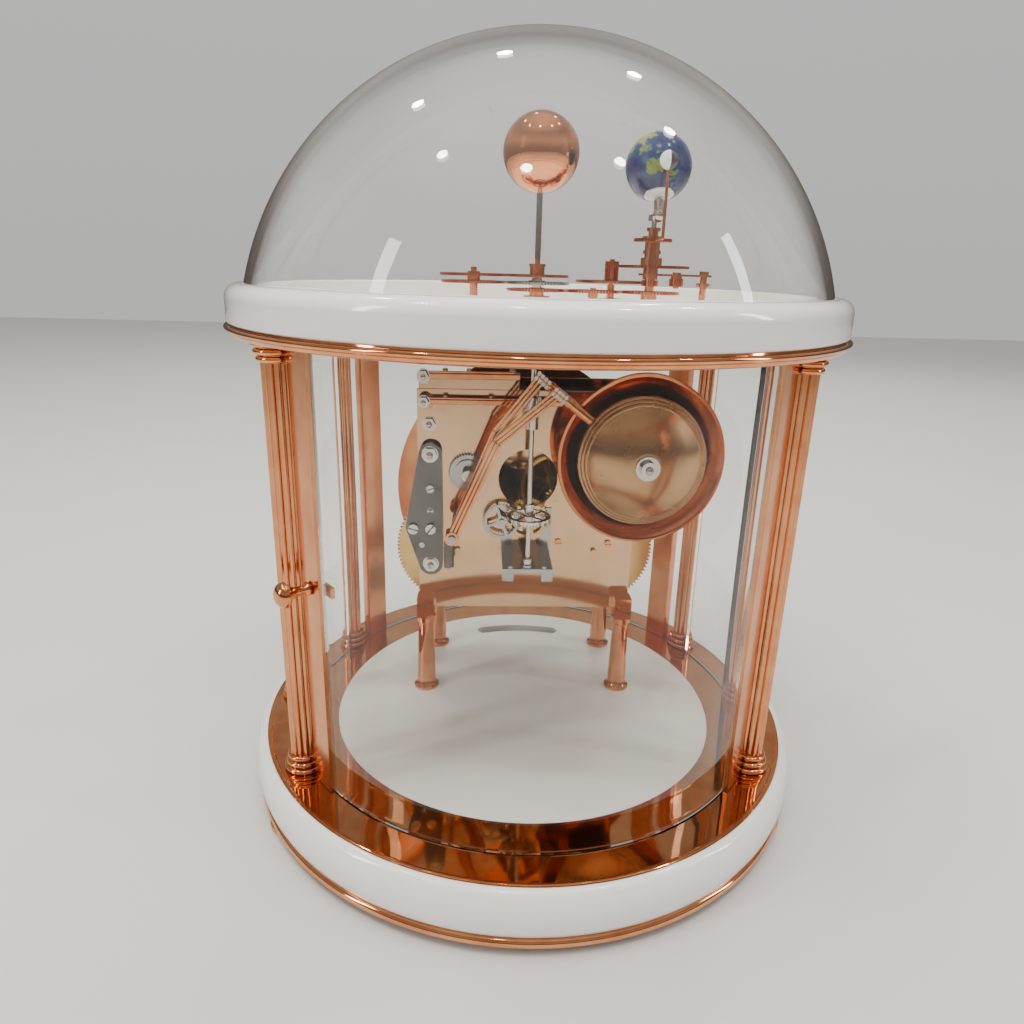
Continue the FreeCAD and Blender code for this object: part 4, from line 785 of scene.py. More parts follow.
# ---- base ----------------------------------------------------------------------------------------
@dataclass
class Base:
    """Lacquered drum between gold beads, on four feet, with a mirror floor and a white disc."""

    wall: float = 16.0
    bead_depth: float = 19.0
    top_radius: float = 139.4
    bottom_radius: float = 140.6
    plate_thick: float = 3.0
    lip: float = 0.3
    seat: float = 0.15

    def build(self) -> None:
        """Make every piece of the base."""
        self.feet()
        self.bead()
        self.drum()
        self.floor()

    def feet(self) -> None:
        """Four round feet with turned edges."""
        span = Span.of("feet")
        mount = Vector(frame["record"]["mounts"][0]["pos_m"]) / MM
        radius = span.high.x - abs(mount.x)
        high = span.high.z
        outline = [(0, 0), (radius - 1.6, 0)] + bend((radius - 1.6, 0), (radius, 1.6), 0.45, 6) \
            + bend((radius, high - 1.2), (radius - 1.2, high), 0.35, 6) + [(0, high)]
        shell = Shell()
        for sx in (-1, 1):
            for sy in (-1, 1):
                shell.lathe(outline, shift(sx * abs(mount.x), sy * abs(mount.y)), 64)
        shell.piece("turned feet", "root", "rose_gold", POLISHED_ROSE, ["feet"])

    def bead(self) -> None:
        """Half-round gold bead under the drum."""
        span = Span.of("base_foot_ring")
        low, high, out = span.low.z, span.high.z, span.high.x
        thick = high - low
        edge = bend((out - thick / 2, low), (out - thick / 2, high), thick / 2, 20)
        inner = out - thick / 2 - self.bead_depth
        Shell().lathe([(inner, low)] + edge + [(inner, high)], steps=288).piece(
            "foot bead", "root", "rose_gold", MIRROR_ROSE, ["base_foot_ring"])

    def drum(self) -> None:
        """White drum whose side swells a little below its middle."""
        span = Span.of("base_body")
        low, high, out = span.low.z, span.high.z, span.high.x
        swell = low + 0.42 * (high - low)
        ledge = Span.of("base_plate").high.x + self.seat
        side = []
        for k in range(25):
            t = k / 24
            z = low + t * (high - low)
            near = self.bottom_radius if z < swell else self.top_radius
            reach = (swell - low) if z < swell else (high - swell)
            bulge = math.sqrt(max(0.0, 1 - ((z - swell) / reach) ** 2 * 0.995))
            side.append((near + (out - near) * bulge, z))
        inner = out - self.wall
        outline = [(inner, low)] + side + [(self.top_radius - 0.1, high), (ledge, high - 0.15),
                                           (ledge, high - self.plate_thick), (inner, high - self.plate_thick)]
        Shell().lathe(outline, steps=288).piece("lacquered drum", "root", "white_lacquer", WHITE_LACQUER,
                                                ["base_body"])

    def floor(self) -> None:
        """Mirror ring with a rolled rim, and the white disc inside it."""
        dress("base_plate", MIRROR_ROSE)
        dress("floor_disc", FLOOR_LACQUER)
        plate = Span.of("base_plate")
        top, out = plate.high.z, plate.high.x
        inner, outer = out - 2.2, out - 0.05
        rim = [(inner, top - 0.2)] + bend((inner, top + 0.02), (outer, top - 0.2), -self.lip, 10) \
            + [(outer, top - 0.6), (inner, top - 0.6)]
        Shell().lathe(rim, steps=288).piece("rolled rim", "root", "rose_gold", MIRROR_ROSE)


# ---- columns and crown ---------------------------------------------------------------------------
@dataclass
class Columns:
    """Six fluted columns with triple rings at both ends."""

    angles: tuple[int, ...] = (-120, -90, -60, 60, 90, 120)
    radius: float = 6.2
    flutes: int = 16
    flute_depth: float = 0.62
    ring_height: float = 3.0
    ring_radii: tuple[float, ...] = (9.6, 8.7, 7.8)
    neck: float = 0.4

    def build(self) -> None:
        """Make the shafts and their rings."""
        shafts = Span.of("column_shafts")
        circle = shafts.high.x - self.radius
        low, high = shafts.low.z, shafts.high.z
        stack = self.ring_height * len(self.ring_radii)
        shaft_shell, ring_shell = Shell(), Shell()
        for angle in self.angles:
            x, y = at(circle, angle)
            outline = [(0, low), (self.radius - 1.2, low), (self.radius - 1.2, low + stack - 0.5),
                       (self.radius, low + stack), (self.radius, high - stack),
                       (self.radius - 1.2, high - stack + 0.5), (self.radius - 1.2, high), (0, high)]
            shaft_shell.lathe(outline, shift(x, y), self.flutes * 10, swell=self._flute)
            for base, way in ((low, 1), (high, -1)):
                self._rings(ring_shell, x, y, base, way)
        shaft_shell.piece("fluted shafts", "root", "satin_rose", BRUSHED_ROSE, ["column_shafts"], crease=40)
        ring_shell.piece("column rings", "root", "rose_gold", POLISHED_ROSE, ["column_rings"])

    def _flute(self, angle: float) -> float:
        """Depth of the fluting at an angle: round hollows between narrow flats."""
        t = (angle * self.flutes / TURN) % 1.0
        hollow = max(0.0, math.sin(math.pi * t) - 0.25) / 0.75
        return -self.flute_depth * math.sqrt(hollow)

    def _rings(self, shell: Shell, x: float, y: float, base: float, way: int) -> None:
        """Stack of half-round rings that grows from a plate, with fine necks between."""
        z = base
        for radius in self.ring_radii:
            low, high = sorted((z, z + way * self.ring_height))
            inner = self.radius - 0.8
            waist = radius - self.ring_height / 2 + self.neck
            outline = [(inner, low), (waist - 0.5, low), (waist - 0.5, low + 0.15)] \
                + bend((waist, low + 0.3), (waist, high - 0.3), self.ring_height / 2 - self.neck, 12) \
                + [(waist - 0.5, high - 0.15), (waist - 0.5, high), (inner, high)]
            shell.lathe(outline, shift(x, y), 64)
            z += way * self.ring_height


@dataclass
class Crown:
    """Gold cornice, white ring and the floor of the recess under the dome."""

    cornice_width: float = 27.0
    shoulder: float = 6.0
    recess: float = 126.5
    dome_seat: float = 1.8
    dome_wall: float = 3.0
    slack: float = 0.15

    def build(self) -> None:
        """Make the cornice and the ring, and dress the recess floor."""
        self.cornice()
        self.ring()
        dress("sky_plate", WHITE_LACQUER)

    def cornice(self) -> None:
        """Two-step moulding with a rounded nose."""
        span = Span.of("cornice_ring")
        low, high, out = span.low.z, span.high.z, span.high.x
        inner = -span.low.x - self.cornice_width
        outline = [(inner, low), (out - 4.4, low)] \
            + bend((out - 4.2, low + 0.1), (out - 1.4, low + 1.7), 0.7, 6) \
            + [(out - 1.5, low + 1.95)] + bend((out - 0.9, low + 2.0), (out - 0.9, high - 0.9), 0.88, 10) \
            + [(out - 2.6, high - 0.8), (out - 2.8, high - 0.05), (out - 3.2, high), (inner, high)]
        Shell().lathe(outline, steps=288).piece("cornice moulding", "root", "rose_gold", MIRROR_ROSE,
                                                ["cornice_ring"])

    def ring(self) -> None:
        """White ring with a round shoulder and a groove that holds the dome."""
        span = Span.of("upper_ring")
        low, high, out = span.low.z, span.high.z, span.high.x
        dome = Span.of("glass_dome").high.x
        seat_out, seat_in = dome + self.slack, dome - self.dome_wall - 1.2
        floor = high - self.dome_seat
        outline = [(self.recess, low), (out - 1.0, low)] + bend((out - 0.9, low), (out, low + 0.9), 0.25, 4) \
            + bend((out, high - self.shoulder), (out - self.shoulder, high), 1.75, 14) \
            + [(seat_out + 0.3, high), (seat_out, high - 0.3), (seat_out, floor), (seat_in, floor),
               (seat_in, high - 0.3), (seat_in - 0.3, high), (self.recess + 0.5, high),
               (self.recess, high - 0.5)]
        Shell().lathe(outline, steps=288).piece("white ring", "root", "white_lacquer", WHITE_LACQUER,
                                                ["upper_ring"])


@dataclass
class Dome:
    """Blown glass dome, open at its foot."""

    wall: float = 3.0
    steps: int = 56

    def build(self) -> None:
        """Make the dome as one closed wall with a rounded lip."""
        span = Span.of("glass_dome")
        foot, height, low = span.high.x, span.size.z, span.low.z
        radius = (foot ** 2 + height ** 2) / (2 * height)
        centre = low + height - radius
        outer = self._arc(radius, centre, foot)
        inner_foot = math.sqrt((radius - self.wall) ** 2 - (low - centre) ** 2)
        inner = self._arc(radius - self.wall, centre, inner_foot)
        lip = bend((inner_foot, low + 0.8), (foot, low + 0.8), 0.8, 8)
        outline = [(0.0, centre + radius)] + list(reversed(outer[:-1])) + list(reversed(lip)) \
            + inner[:-1] + [(0.0, centre + radius - self.wall)]
        Shell().lathe(outline, steps=224).piece("blown dome", "dome", "glass", DOME_GLASS, ["glass_dome"], 60)

    def _arc(self, radius: float, centre: float, foot: float) -> list[Point2]:
        """Points from the foot to the crown of one face of the wall."""
        start = math.asin(foot / radius)
        angles = [start * (1 - k / self.steps) for k in range(self.steps + 1)]
        return [(radius * math.sin(a), centre + radius * math.cos(a)) for a in angles]


# ---- glazing -------------------------------------------------------------------------------------
@dataclass
class Glazing:
    """Bent panes with bevelled ends, fixed at the sides and hinged front and rear."""

    radius: float = 122.9
    thick: float = 3.5
    bevel_width: float = 0.5
    bevel_height: float = 7.0
    edge: float = 0.35
    column_angles: tuple[tuple[int, int], ...] = ((-120, -90), (-90, -60), (60, 90), (90, 120))
    ring_clear: float = 9.8
    door_angle: float = 47.7
    knob_steps: int = 48
    knob_root: float = 116.4
    latch: tuple[float, float, float] = (13.4, 1.7, 5.0)

    def build(self) -> None:
        """Make the side panes and both doors."""
        self.sides()
        for name, turn in (("rear", 0.0), ("front", 180.0)):
            self.door(name, turn)

    def pane(self, shell: Shell, start: float, end: float) -> None:
        """Bent pane between two angles, with long bevels at its top and bottom."""
        span = Span.of("rear_door_glass")
        low, high = span.low.z, span.high.z
        inner, out = self.radius - self.thick, self.radius
        outline = [(inner + self.edge, low), (out - self.bevel_width - 0.2, low),
                   (out - self.bevel_width, low + 0.3), (out, low + self.bevel_height),
                   (out, high - self.bevel_height), (out - self.bevel_width, high - 0.3),
                   (out - self.bevel_width - 0.2, high), (inner + self.edge, high), (inner, high - self.edge),
                   (inner, low + self.edge)]
        shell.lathe(outline, steps=240, start=start, sweep=end - start)

    def sides(self) -> None:
        """Four fixed panes, narrowed where they meet the columns."""
        shell = Shell()
        reach = math.degrees(self.ring_clear / self.radius)
        for start, end in self.column_angles:
            self.pane(shell, start + reach, end - reach)
        shell.piece("side panes bent", "root", "glass", PANE_GLASS, ["side_panes"], 24)

    def door(self, name: str, turn: float) -> None:
        """Glass, stiles and knob of the door that faces a given angle."""
        shell = Shell()
        self.pane(shell, turn - self.door_angle, turn + self.door_angle)
        shell.piece(f"{name} pane", f"{name}_door", "glass", PANE_GLASS, [f"{name}_door_glass"], 24)
        dress(f"{name}_door_stiles", BRUSHED_ROSE)
        self.knob(name)

    def knob(self, name: str) -> None:
        """Mushroom knob with a collar on its shaft, and the latch inside."""
        axis = joint_axis(f"{name}_knob_turn")
        anchor = joint_place(f"{name}_knob_turn")
        root = anchor + axis * (self.knob_root - anchor.xy.length)
        stem, collar, rim, neck = 1.9, 2.7, 5.6, 8.5
        cap = bend((rim, neck + 11.1), (0.0, neck + 14.6), 1.5, 12)
        outline = [(0, 0), (stem, 0), (stem, neck)] + bend((collar, neck), (collar, neck + 1.2), 0.4, 6) \
            + [(stem + 0.2, neck + 1.9), (stem + 0.1, neck + 3.0), (stem + 0.3, neck + 6.2),
               (stem + 0.9, neck + 7.6), (stem + 2.2, neck + 9.0), (rim - 0.5, neck + 10.0)] \
            + bend((rim - 0.3, neck + 10.1), (rim - 0.1, neck + 11.0), 0.3, 5) + cap[1:-1] \
            + [(0.0, neck + 14.6)]
        place = along(root, root + axis)
        shell = Shell().lathe(outline, place, self.knob_steps)
        side = Vector((-axis.y, axis.x, 0)) * -1.0
        middle = root + axis * 1.1 + side * -4.0
        turn = Matrix((side, axis, Vector((0, 0, 1)))).transposed().to_4x4()
        shell.block(self.latch, Matrix.Translation(middle) @ turn)
        shell.piece(f"{name} knob", f"{name}_knob", "rose_gold", POLISHED_ROSE, [f"{name}_door_knob"],
                    edge=0.25)


# ---- movement ------------------------------------------------------------------------------------
@dataclass
class Movement:
    """Plates, pillars, legs and the trains between and behind the plates."""

    train: tuple[str, ...] = ("centre_arbor", "hour_wheel", "minute_wheel", "second_wheel", "going_barrel",
                              "strike_barrel")

    def build(self) -> None:
        """Dress the frame, the trains and the legs."""
        for node in ("rear_plate", "front_plate"):
            dress(node, PLATE_ROSE)
        dress("plate_pillars", POLISHED_ROSE)
        for node in self.train:
            dress(node, WHEEL_BRASS)
        for node in ("transfer_wheel", "strike_wheel"):
            dress(node, STEEL)
        dress("movement_legs", MIRROR_ROSE)


def hexagon(radius: float) -> list[Point2]:
    """Outline of a nut, across its corners."""
    return [(radius * math.cos(TURN * k / 6), radius * math.sin(TURN * k / 6)) for k in range(6)]


@dataclass
class Fasteners:
    """Nuts and screws whose heads face the rear."""

    shell: Shell = field(default_factory=Shell)

    def nut(self, x: float, y: float, z: float, radius: float = 3.9) -> None:
        """Hexagon nut on a washer, with the domed end of its stud."""
        place = facing_rear(x, y, z)
        self.shell.lathe([(0, 0), (radius + 0.5, 0), (radius + 0.5, 0.5), (0, 0.5)], place, 40)
        self.shell.prism(hexagon(radius), 2.4, place @ shift(0, 0, 0.5))
        cap = [(radius * 0.5 * math.cos(a), 2.9 + radius * 0.32 * math.sin(a))
               for a in (math.pi * k / 12 for k in range(6))]
        self.shell.lathe([(0, 2.6), (radius * 0.5, 2.6)] + cap + [(0.0, 2.9 + radius * 0.32)], place, 32)

    def screw(self, x: float, y: float, z: float, radius: float = 1.8, slot: float = 0.0) -> None:
        """Cheese-head screw with a slot, and a thin lip along the slot's edges."""
        place = facing_rear(x, y, z) @ Matrix.Rotation(math.radians(slot), 4, "Z")
        high, gap = radius * 0.7, radius * 0.16
        reach = math.sqrt(radius ** 2 - gap ** 2)
        start = math.asin(gap / radius)
        self.shell.lathe([(0, 0), (radius, 0), (radius, high * 0.5), (0, high * 0.5)], place, 36)
        for side in (0.0, math.pi):
            turn = place @ Matrix.Rotation(side, 4, "Z") @ shift(0, 0, high * 0.5)
            half = [(radius * math.cos(a), radius * math.sin(a))
                    for a in (start + (math.pi - 2 * start) * k / 14 for k in range(15))]
            self.shell.prism(half, high * 0.5, turn)
            self.shell.block((reach * 2, 0.02, high * 0.02), turn @ shift(0, gap, high * 0.49))

    def finish(self, name: str, body: str, finish: Finish) -> None:
        """Make the piece."""
        self.shell.piece(name, body, "steel", finish, edge=0.12)


@dataclass
class Hammer:
    """Bell hammer: sprung strips side by side, a screwed clamp and a round head."""

    name: str
    bell: str
    lean: float
    spread: float = 1.9
    strip: float = 1.3
    head_radius: float = 2.6
    head_length: float = 15.0
    gap: float = 0.9
    aim: tuple[float, float] = (0.8, -0.6)

    def build(self) -> None:
        """Make the hammer."""
        pivot = joint_place(f"{self.name}_hammer_swing")
        bell = Span.of(self.bell)
        y = pivot.y
        reach = bell.size.x / 2 + self.gap + self.head_length
        ux, uz = self.aim
        tip = Vector((bell.middle.x - ux * reach, y, bell.middle.z - uz * reach))
        elbow = Vector((pivot.x + 22.0, y, pivot.z + 50.0 + self.lean))
        aim = Vector((ux, 0, uz))
        shell = Shell()
        collar = [(1.75, -1.3), (3.6, -1.3), (3.6, 1.3), (1.75, 1.3)]
        shell.lathe(collar, facing_rear(pivot.x, y, pivot.z), 48)
        for side in (-1, 0, 1):
            offset = Vector((-side * self.spread * 0.8, 0, side * self.spread * 0.6))
            start = pivot + offset + (elbow - pivot).normalized() * 2.8
            self._strip(shell, start, elbow + offset)
            self._strip(shell, elbow + offset, tip + offset - aim * 7.0)
        shell.piece(f"{self.name} hammer arm", f"{self.name}_hammer", "rose_gold", POLISHED_ROSE, edge=0.15)
        self._head(tip, aim)

    def _strip(self, shell: Shell, start: Vector, end: Vector) -> None:
        """Flat spring strip between two points."""
        way = end - start
        side = way.normalized().cross(Vector((0, 1, 0)))
        turn = Matrix((side, Vector((0, 1, 0)), -way.normalized())).transposed().to_4x4()
        shell.block((self.strip, 1.5, way.length + 1.0), Matrix.Translation((start + end) / 2) @ turn)

    def _head(self, tip: Vector, aim: Vector) -> None:
        """Grooved sleeve, clamp with two rows of screws and the striking head."""
        r, length = self.head_radius, self.head_length
        outline = [(0, -2), (r * 0.9, -2), (r * 0.9, -1.2), (r, -1.0), (r, 1.0), (r - 0.35, 1.2),
                   (r - 0.35, 1.8), (r, 2.0), (r, length - 0.7), (r - 0.6, length), (0, length)]
        neck = r * 0.78
        grooves: list[Point2] = [(0, -9.8)]
        for k in range(5):
            low = -9.8 + k * 1.56
            grooves += [(neck - 0.3, low), (neck, low + 0.2), (neck, low + 1.2), (neck - 0.3, low + 1.4)]
        grooves.append((0, -2.0))
        place = along(tip, tip + aim)
        shell = Shell().lathe(outline, place, 48).lathe(grooves, place, 40)
        shell.piece(f"{self.name} hammer head", f"{self.name}_hammer", "rose_gold", MIRROR_ROSE,
                    [f"hammer_{self.name}"])
        screws = Fasteners()
        side = aim.cross(Vector((0, 1, 0)))
        for k in range(4):
            for way in (-1, 1):
                p = tip - aim * (2.8 + 2.1 * k) + side * way * 1.25
                screws.screw(p.x, p.y - neck + 0.45, p.z, 0.95, 40.0 * k)
        screws.finish(f"{self.name} hammer screws", f"{self.name}_hammer", NICKEL)


@dataclass
class Bell:
    """Turned bell with steps near its rim, and a rolled lip."""

    node: str
    depth: float
    way: int
    finish: Finish
    wall: float = 1.5
    flat: float = 7.0
    bore: float = 3.2
    steps: int = 2
    step_width: float = 1.5

    def build(self) -> None:
        """Make the bell from the box of its node."""
        span = Span.of(self.node)
        radius = span.size.x / 2
        lip = span.size.y - self.depth
        face = radius - self.steps * self.step_width
        outer: list[Point2] = []
        low = (self.flat ** 2 + self.depth ** 2 - radius ** 2) / (2 * self.depth)
        ball = math.hypot(radius, low)
        for k in range(33):
            r = self.flat + (face - self.flat) * k / 32
            outer.append((r, low + math.sqrt(ball ** 2 - r ** 2)))
        drop = outer[-1][1] / max(1, self.steps)
        z = outer[-1][1]
        for k in range(self.steps):
            r = face + k * self.step_width
            outer += bend((r, z - 0.15), (r + self.step_width * 0.9, z - drop * 0.45), -0.35, 5)
            z -= drop
            outer.append((r + self.step_width * 0.95, z + 0.2))
        outer += bend((radius - 0.3, 0.2), (radius - 0.3, -lip), -0.28, 6)
        inner = [(max(self.bore, r - self.wall * 0.55), h - self.wall) for r, h in outer[:33]]
        inside = radius - self.wall - 0.2
        inner += [(inside, 0.4), (inside, -lip + 0.2), (radius - 0.8, -lip)]
        outline = [(self.bore, self.depth)] + outer + list(reversed(inner)) \
            + [(self.bore, self.depth - self.wall)]
        rim = span.low.y + lip if self.way > 0 else span.high.y - lip
        stand = facing_front if self.way > 0 else facing_rear
        shell = Shell().lathe(outline, stand(span.middle.x, rim, span.middle.z), 192)
        shell.piece(f"{self.node} turned", "root", "bell", self.finish, [self.node], crease=22)


@dataclass
class Strike:
    """Cock, hammers, spring and bells."""

    wire: float = 0.5
    spring_turns: int = 14
    cock_ends: tuple[float, float] = (6.5, 6.0)
    pillar_x: float = 53.2

    def build(self) -> None:
        """Make the hammers, the spring, the bells and the fasteners, and dress the rest."""
        # Painted reflection: the cock's dark colour stands for the dark room that it mirrors.
        dress("strike_cock", PAINTED_REFLECTION_STEEL)
        dress("hammer_arbor", STEEL)
        dress("bell_post", NICKEL)
        Hammer("large", "bell_large", 4.0).build()
        Hammer("small", "bell_small", 0.0).build()
        Bell("bell_large", 17.0, 1, BELL_RED, steps=0).build()
        Bell("bell_small", 13.0, -1, BELL_BROWN, steps=3, step_width=1.6).build()
        self.spring()
        self.fasteners()
        self.straps()

    def straps(self) -> None:
        """Two polished straps across the top of the rear plate, on short studs with nuts."""
        plate = Span.of("rear_plate")
        left, face = plate.low.x + 1.0, plate.low.y
        shell, panel, studs = Shell(), Shell(), Fasteners()
        for z, right in ((plate.high.z + 7.0, -6.0), (plate.high.z - 5.6, 17.0)):
            middle = (left + right) / 2
            shell.block((right - left, 5.2, 2.4), shift(middle, face - 3.4, z))
            shell.block((right - left - 6.0, 1.4, 1.0), shift(middle, face - 4.6, z + 1.7))
            for x in (left + 14.0, middle, right - 4.0):
                studs.shell.rod((x, face - 3.4, z + 1.2), (x, face - 3.4, z + 3.2), 1.4, 24, 0.3)
            studs.nut(left + 3.0, face - 5.6, z, 2.9)
        panel.block((-6.0 - left, 1.6, 8.0), shift((left - 6.0) / 2, face + 0.9, plate.high.z + 4.1))
        shell.piece("plate straps", "root", "rose_gold", MIRROR_ROSE, edge=0.3)
        panel.piece("strap panel", "root", "movement_plate", PLATE_ROSE, edge=0.2)
        studs.finish("strap studs", "root", NICKEL)

    def fasteners(self) -> None:
        """Nuts at both ends of the cock, screws along it and on the small arbors."""
        span = Span.of("strike_cock")
        plate = Span.of("rear_plate")
        x = joint_place("strike_barrel_turn").x - 14.6
        face = plate.low.y - 5.0
        low, high = span.low.z + self.cock_ends[0], span.high.z - self.cock_ends[1]
        bolts = Fasteners()
        bolts.nut(x, face, high)
        bolts.nut(x, face, low)
        middle = low + (high - low) * 0.33
        for dx, z, r, turn in ((0.0, high - 18.6, 2.1, 20.0), (0.0, middle + 10.2, 1.8, 70.0),
                               (-9.4, middle, 2.8, -15.0), (0.0, middle, 2.8, 50.0),
                               (0.0, high - 31.0, 1.5, 5.0), (-4.8, low + 11.0, 1.5, 35.0)):
            bolts.screw(x + dx, face, z, r, turn)
        wheel = Span.of("strike_wheel")
        bolts.screw(wheel.middle.x, wheel.low.y, wheel.middle.z, 3.0, 75.0)
        for z in (18.0, 6.5):
            bolts.nut(-self.pillar_x, plate.low.y, plate.high.z - z, 3.4)
        bolts.finish("cock fasteners", "root", NICKEL)

    def spring(self) -> None:
        """Coiled return spring with its hook."""
        span = Span.of("hammer_spring")
        x = span.middle.x
        radius = span.size.x / 2 - self.wire
        y = span.low.y + radius + self.wire
        low = span.low.z + 0.6
        pitch = (span.high.z - low - self.wire) / self.spring_turns
        shell = Shell().coil((x, y, low), radius, self.wire, pitch, self.spring_turns)
        shell.rod((x, y - radius, low), (x, span.high.y, low), 0.8, 16)
        shell.piece("return spring", "root", "steel", STEEL, ["hammer_spring"], 60)


@dataclass
class Drive:
    """Vertical shaft, its contrate wheel and the bracket."""

    sleeve: float = 3.2
    below_top: float = 23.4

    def build(self) -> None:
        """Dress the drive."""
        dress("drive_bracket", STEEL)
        dress("drive_shaft", NICKEL)
        self.coupling()
        dress("contrate_wheel", NICKEL)
        dress("orrery_gearbox", BRUSHED_ROSE)

    def coupling(self) -> None:
        """Knurled sleeve near the top of the shaft."""
        p = joint_place("drive_turn")
        low = Span.of("drive_shaft").high.z - self.below_top
        r = self.sleeve
        outline = [(1.7, low), (r - 0.8, low), (r - 0.2, low + 0.8), (r - 0.2, low + 1.4), (r, low + 1.6),
                   (r, low + 3.0), (r - 0.5, low + 3.2), (r - 0.5, low + 3.7), (r - 1.1, low + 4.1),
                   (1.7, low + 4.1)]
        shell = Shell()
        shell.lathe(outline, shift(p.x, p.y), 72, swell=lambda a: 0.12 * math.cos(24 * a))
        shell.piece("shaft coupling", "drive_line", "chrome", NICKEL)


NUMERALS = ("XII", "I", "II", "III", "IIII", "V", "VI", "VII", "VIII", "IX", "X", "XI")


@dataclass
class DialWork:
    """Dial with its numbers, and the hands."""

    rim_height: float = 1.2
    rim_width: float = 3.0
    face: float = 0.25
    print_depth: float = 0.12
    numeral_low: float = 52.5
    numeral_high: float = 63.5
    thick: float = 1.7
    thin: float = 0.6
    eyelet: float = 4.0
    hole: float = 4.2

    def __post_init__(self) -> None:
        """Take the dial's centre, radius and level from the frame."""
        span = Span.of("dial")
        self.centre: Vector = joint_place("minute_turn")
        self.radius: float = span.size.x / 2
        self.level: float = span.high.y - self.rim_height

    def build(self) -> None:
        """Dress the dial and the hands, and print the face."""
        dress("dial", BRUSHED_ROSE)
        dress("hour_hand", BLUED)
        dress("minute_hand", BLUED)
        self.plate()
        self.numbers()
        self.winding()

    def place(self, hour: float, x: float, radius: float) -> tuple[float, float]:
        """Point of the face beside an hour's radius, as seen from the front.

        Args:
            hour: Hour on the dial.
            x: Distance clockwise of that radius.
            radius: Distance from the centre.

        Returns:
            X and Z in millimetres.
        """
        a = math.radians(30 * hour)
        c, s = math.cos(a), math.sin(a)
        return self.centre.x - s * radius - c * x, self.centre.z + c * radius - s * x

    def stroke(self, shell: Shell, hour: float, start: Point2, end: Point2, width: float) -> None:
        """Straight printed stroke between two points beside an hour's radius."""
        (x0, z0), (x1, z1) = self.place(hour, *start), self.place(hour, *end)
        first, last = Vector((x0, 0, z0)), Vector((x1, 0, z1))
        way = (last - first).normalized()
        side = way.cross(Vector((0, 1, 0)))
        turn = Matrix((side, Vector((0, 1, 0)), -way)).transposed().to_4x4()
        middle = (first + last) / 2
        middle.y = self.level + self.face + self.print_depth / 2
        shell.block((width, self.print_depth, (last - first).length), Matrix.Translation(middle) @ turn)

    def plate(self) -> None:
        """White face inside the gold rim, with a fine gold line."""
        inner = self.radius - self.rim_width
        top = self.face
        outline = [(self.hole, 0), (inner - 0.1, 0), (inner - 0.1, top * 0.6), (inner - 0.4, top),
                   (self.hole, top)]
        stand = facing_front(self.centre.x, self.level, self.centre.z)
        Shell().lathe(outline, stand, 192).piece("dial face", "root", "dial_white", DIAL_LACQUER)
        shell = Shell()
        for radius in (self.numeral_low - 3.0, inner - 7.2):
            shell.lathe([(radius, top), (radius + 0.5, top), (radius + 0.5, top + 0.1), (radius, top + 0.1)],
                        stand, 160)
        shell.piece("dial lines", "root", "rose_gold", POLISHED_ROSE)

    def numbers(self) -> None:
        """Roman hours and sixty minute marks."""
        shell = Shell()
        low, high = self.numeral_low, self.numeral_high
        half = (high - low) * 0.3
        widths = {"I": self.thick * 1.9, "V": half * 2 + 0.9, "X": half * 2 + 0.9}
        for hour, text in enumerate(NUMERALS):
            x = -sum(widths[c] for c in text) / 2
            for c in text:
                middle = x + widths[c] / 2
                if c == "I":
                    self.stroke(shell, hour, (middle, low), (middle, high), self.thick)
                    for end in (low, high):
                        self.stroke(shell, hour, (middle - self.thick, end), (middle + self.thick, end), 0.4)
                elif c == "V":
                    self.stroke(shell, hour, (middle - half, high), (middle, low), self.thick)
                    self.stroke(shell, hour, (middle + half, high), (middle, low), self.thin)
                else:
                    self.stroke(shell, hour, (middle - half, high), (middle + half, low), self.thick)
                    self.stroke(shell, hour, (middle + half, high), (middle - half, low), self.thin)
                x += widths[c]
        out = self.radius - self.rim_width - 2.0
        for k in range(60):
            wide, long = (1.1, 3.6) if k % 5 == 0 else (0.4, 2.2)
            self.stroke(shell, k / 5, (0, out - long), (0, out), wide)
        shell.piece("dial print", "root", "steel", DIAL_INK_AND_HOLE_SHADE)

    def winding(self) -> None:
        """Gold eyelets round the winding holes, and black discs that paint the shade inside the holes."""
        rings, hole_shade_discs = Shell(), Shell()
        for name in ("going_barrel_turn", "strike_barrel_turn"):
            p = joint_place(name)
            stand = facing_front(p.x, self.level + self.face, p.z)
            r = self.eyelet
            rings.lathe([(r - 1.0, 0)] + bend((r + 0.8, 0), (r - 1.0, 0.25), 0.3, 8), stand, 64)
            # Black disc in place of a real hole: painted shade of the hole's dark inside.
            hole_shade_discs.lathe([(0, 0), (r - 0.9, 0), (r - 0.9, 0.08), (1.3, 0.08), (1.2, 0.02), (0, 0.02)],
                        stand, 48)
        rings.piece("winding eyelets", "root", "rose_gold", POLISHED_ROSE)
        hole_shade_discs.piece("winding hole painted shade", "root", "steel", DIAL_INK_AND_HOLE_SHADE)


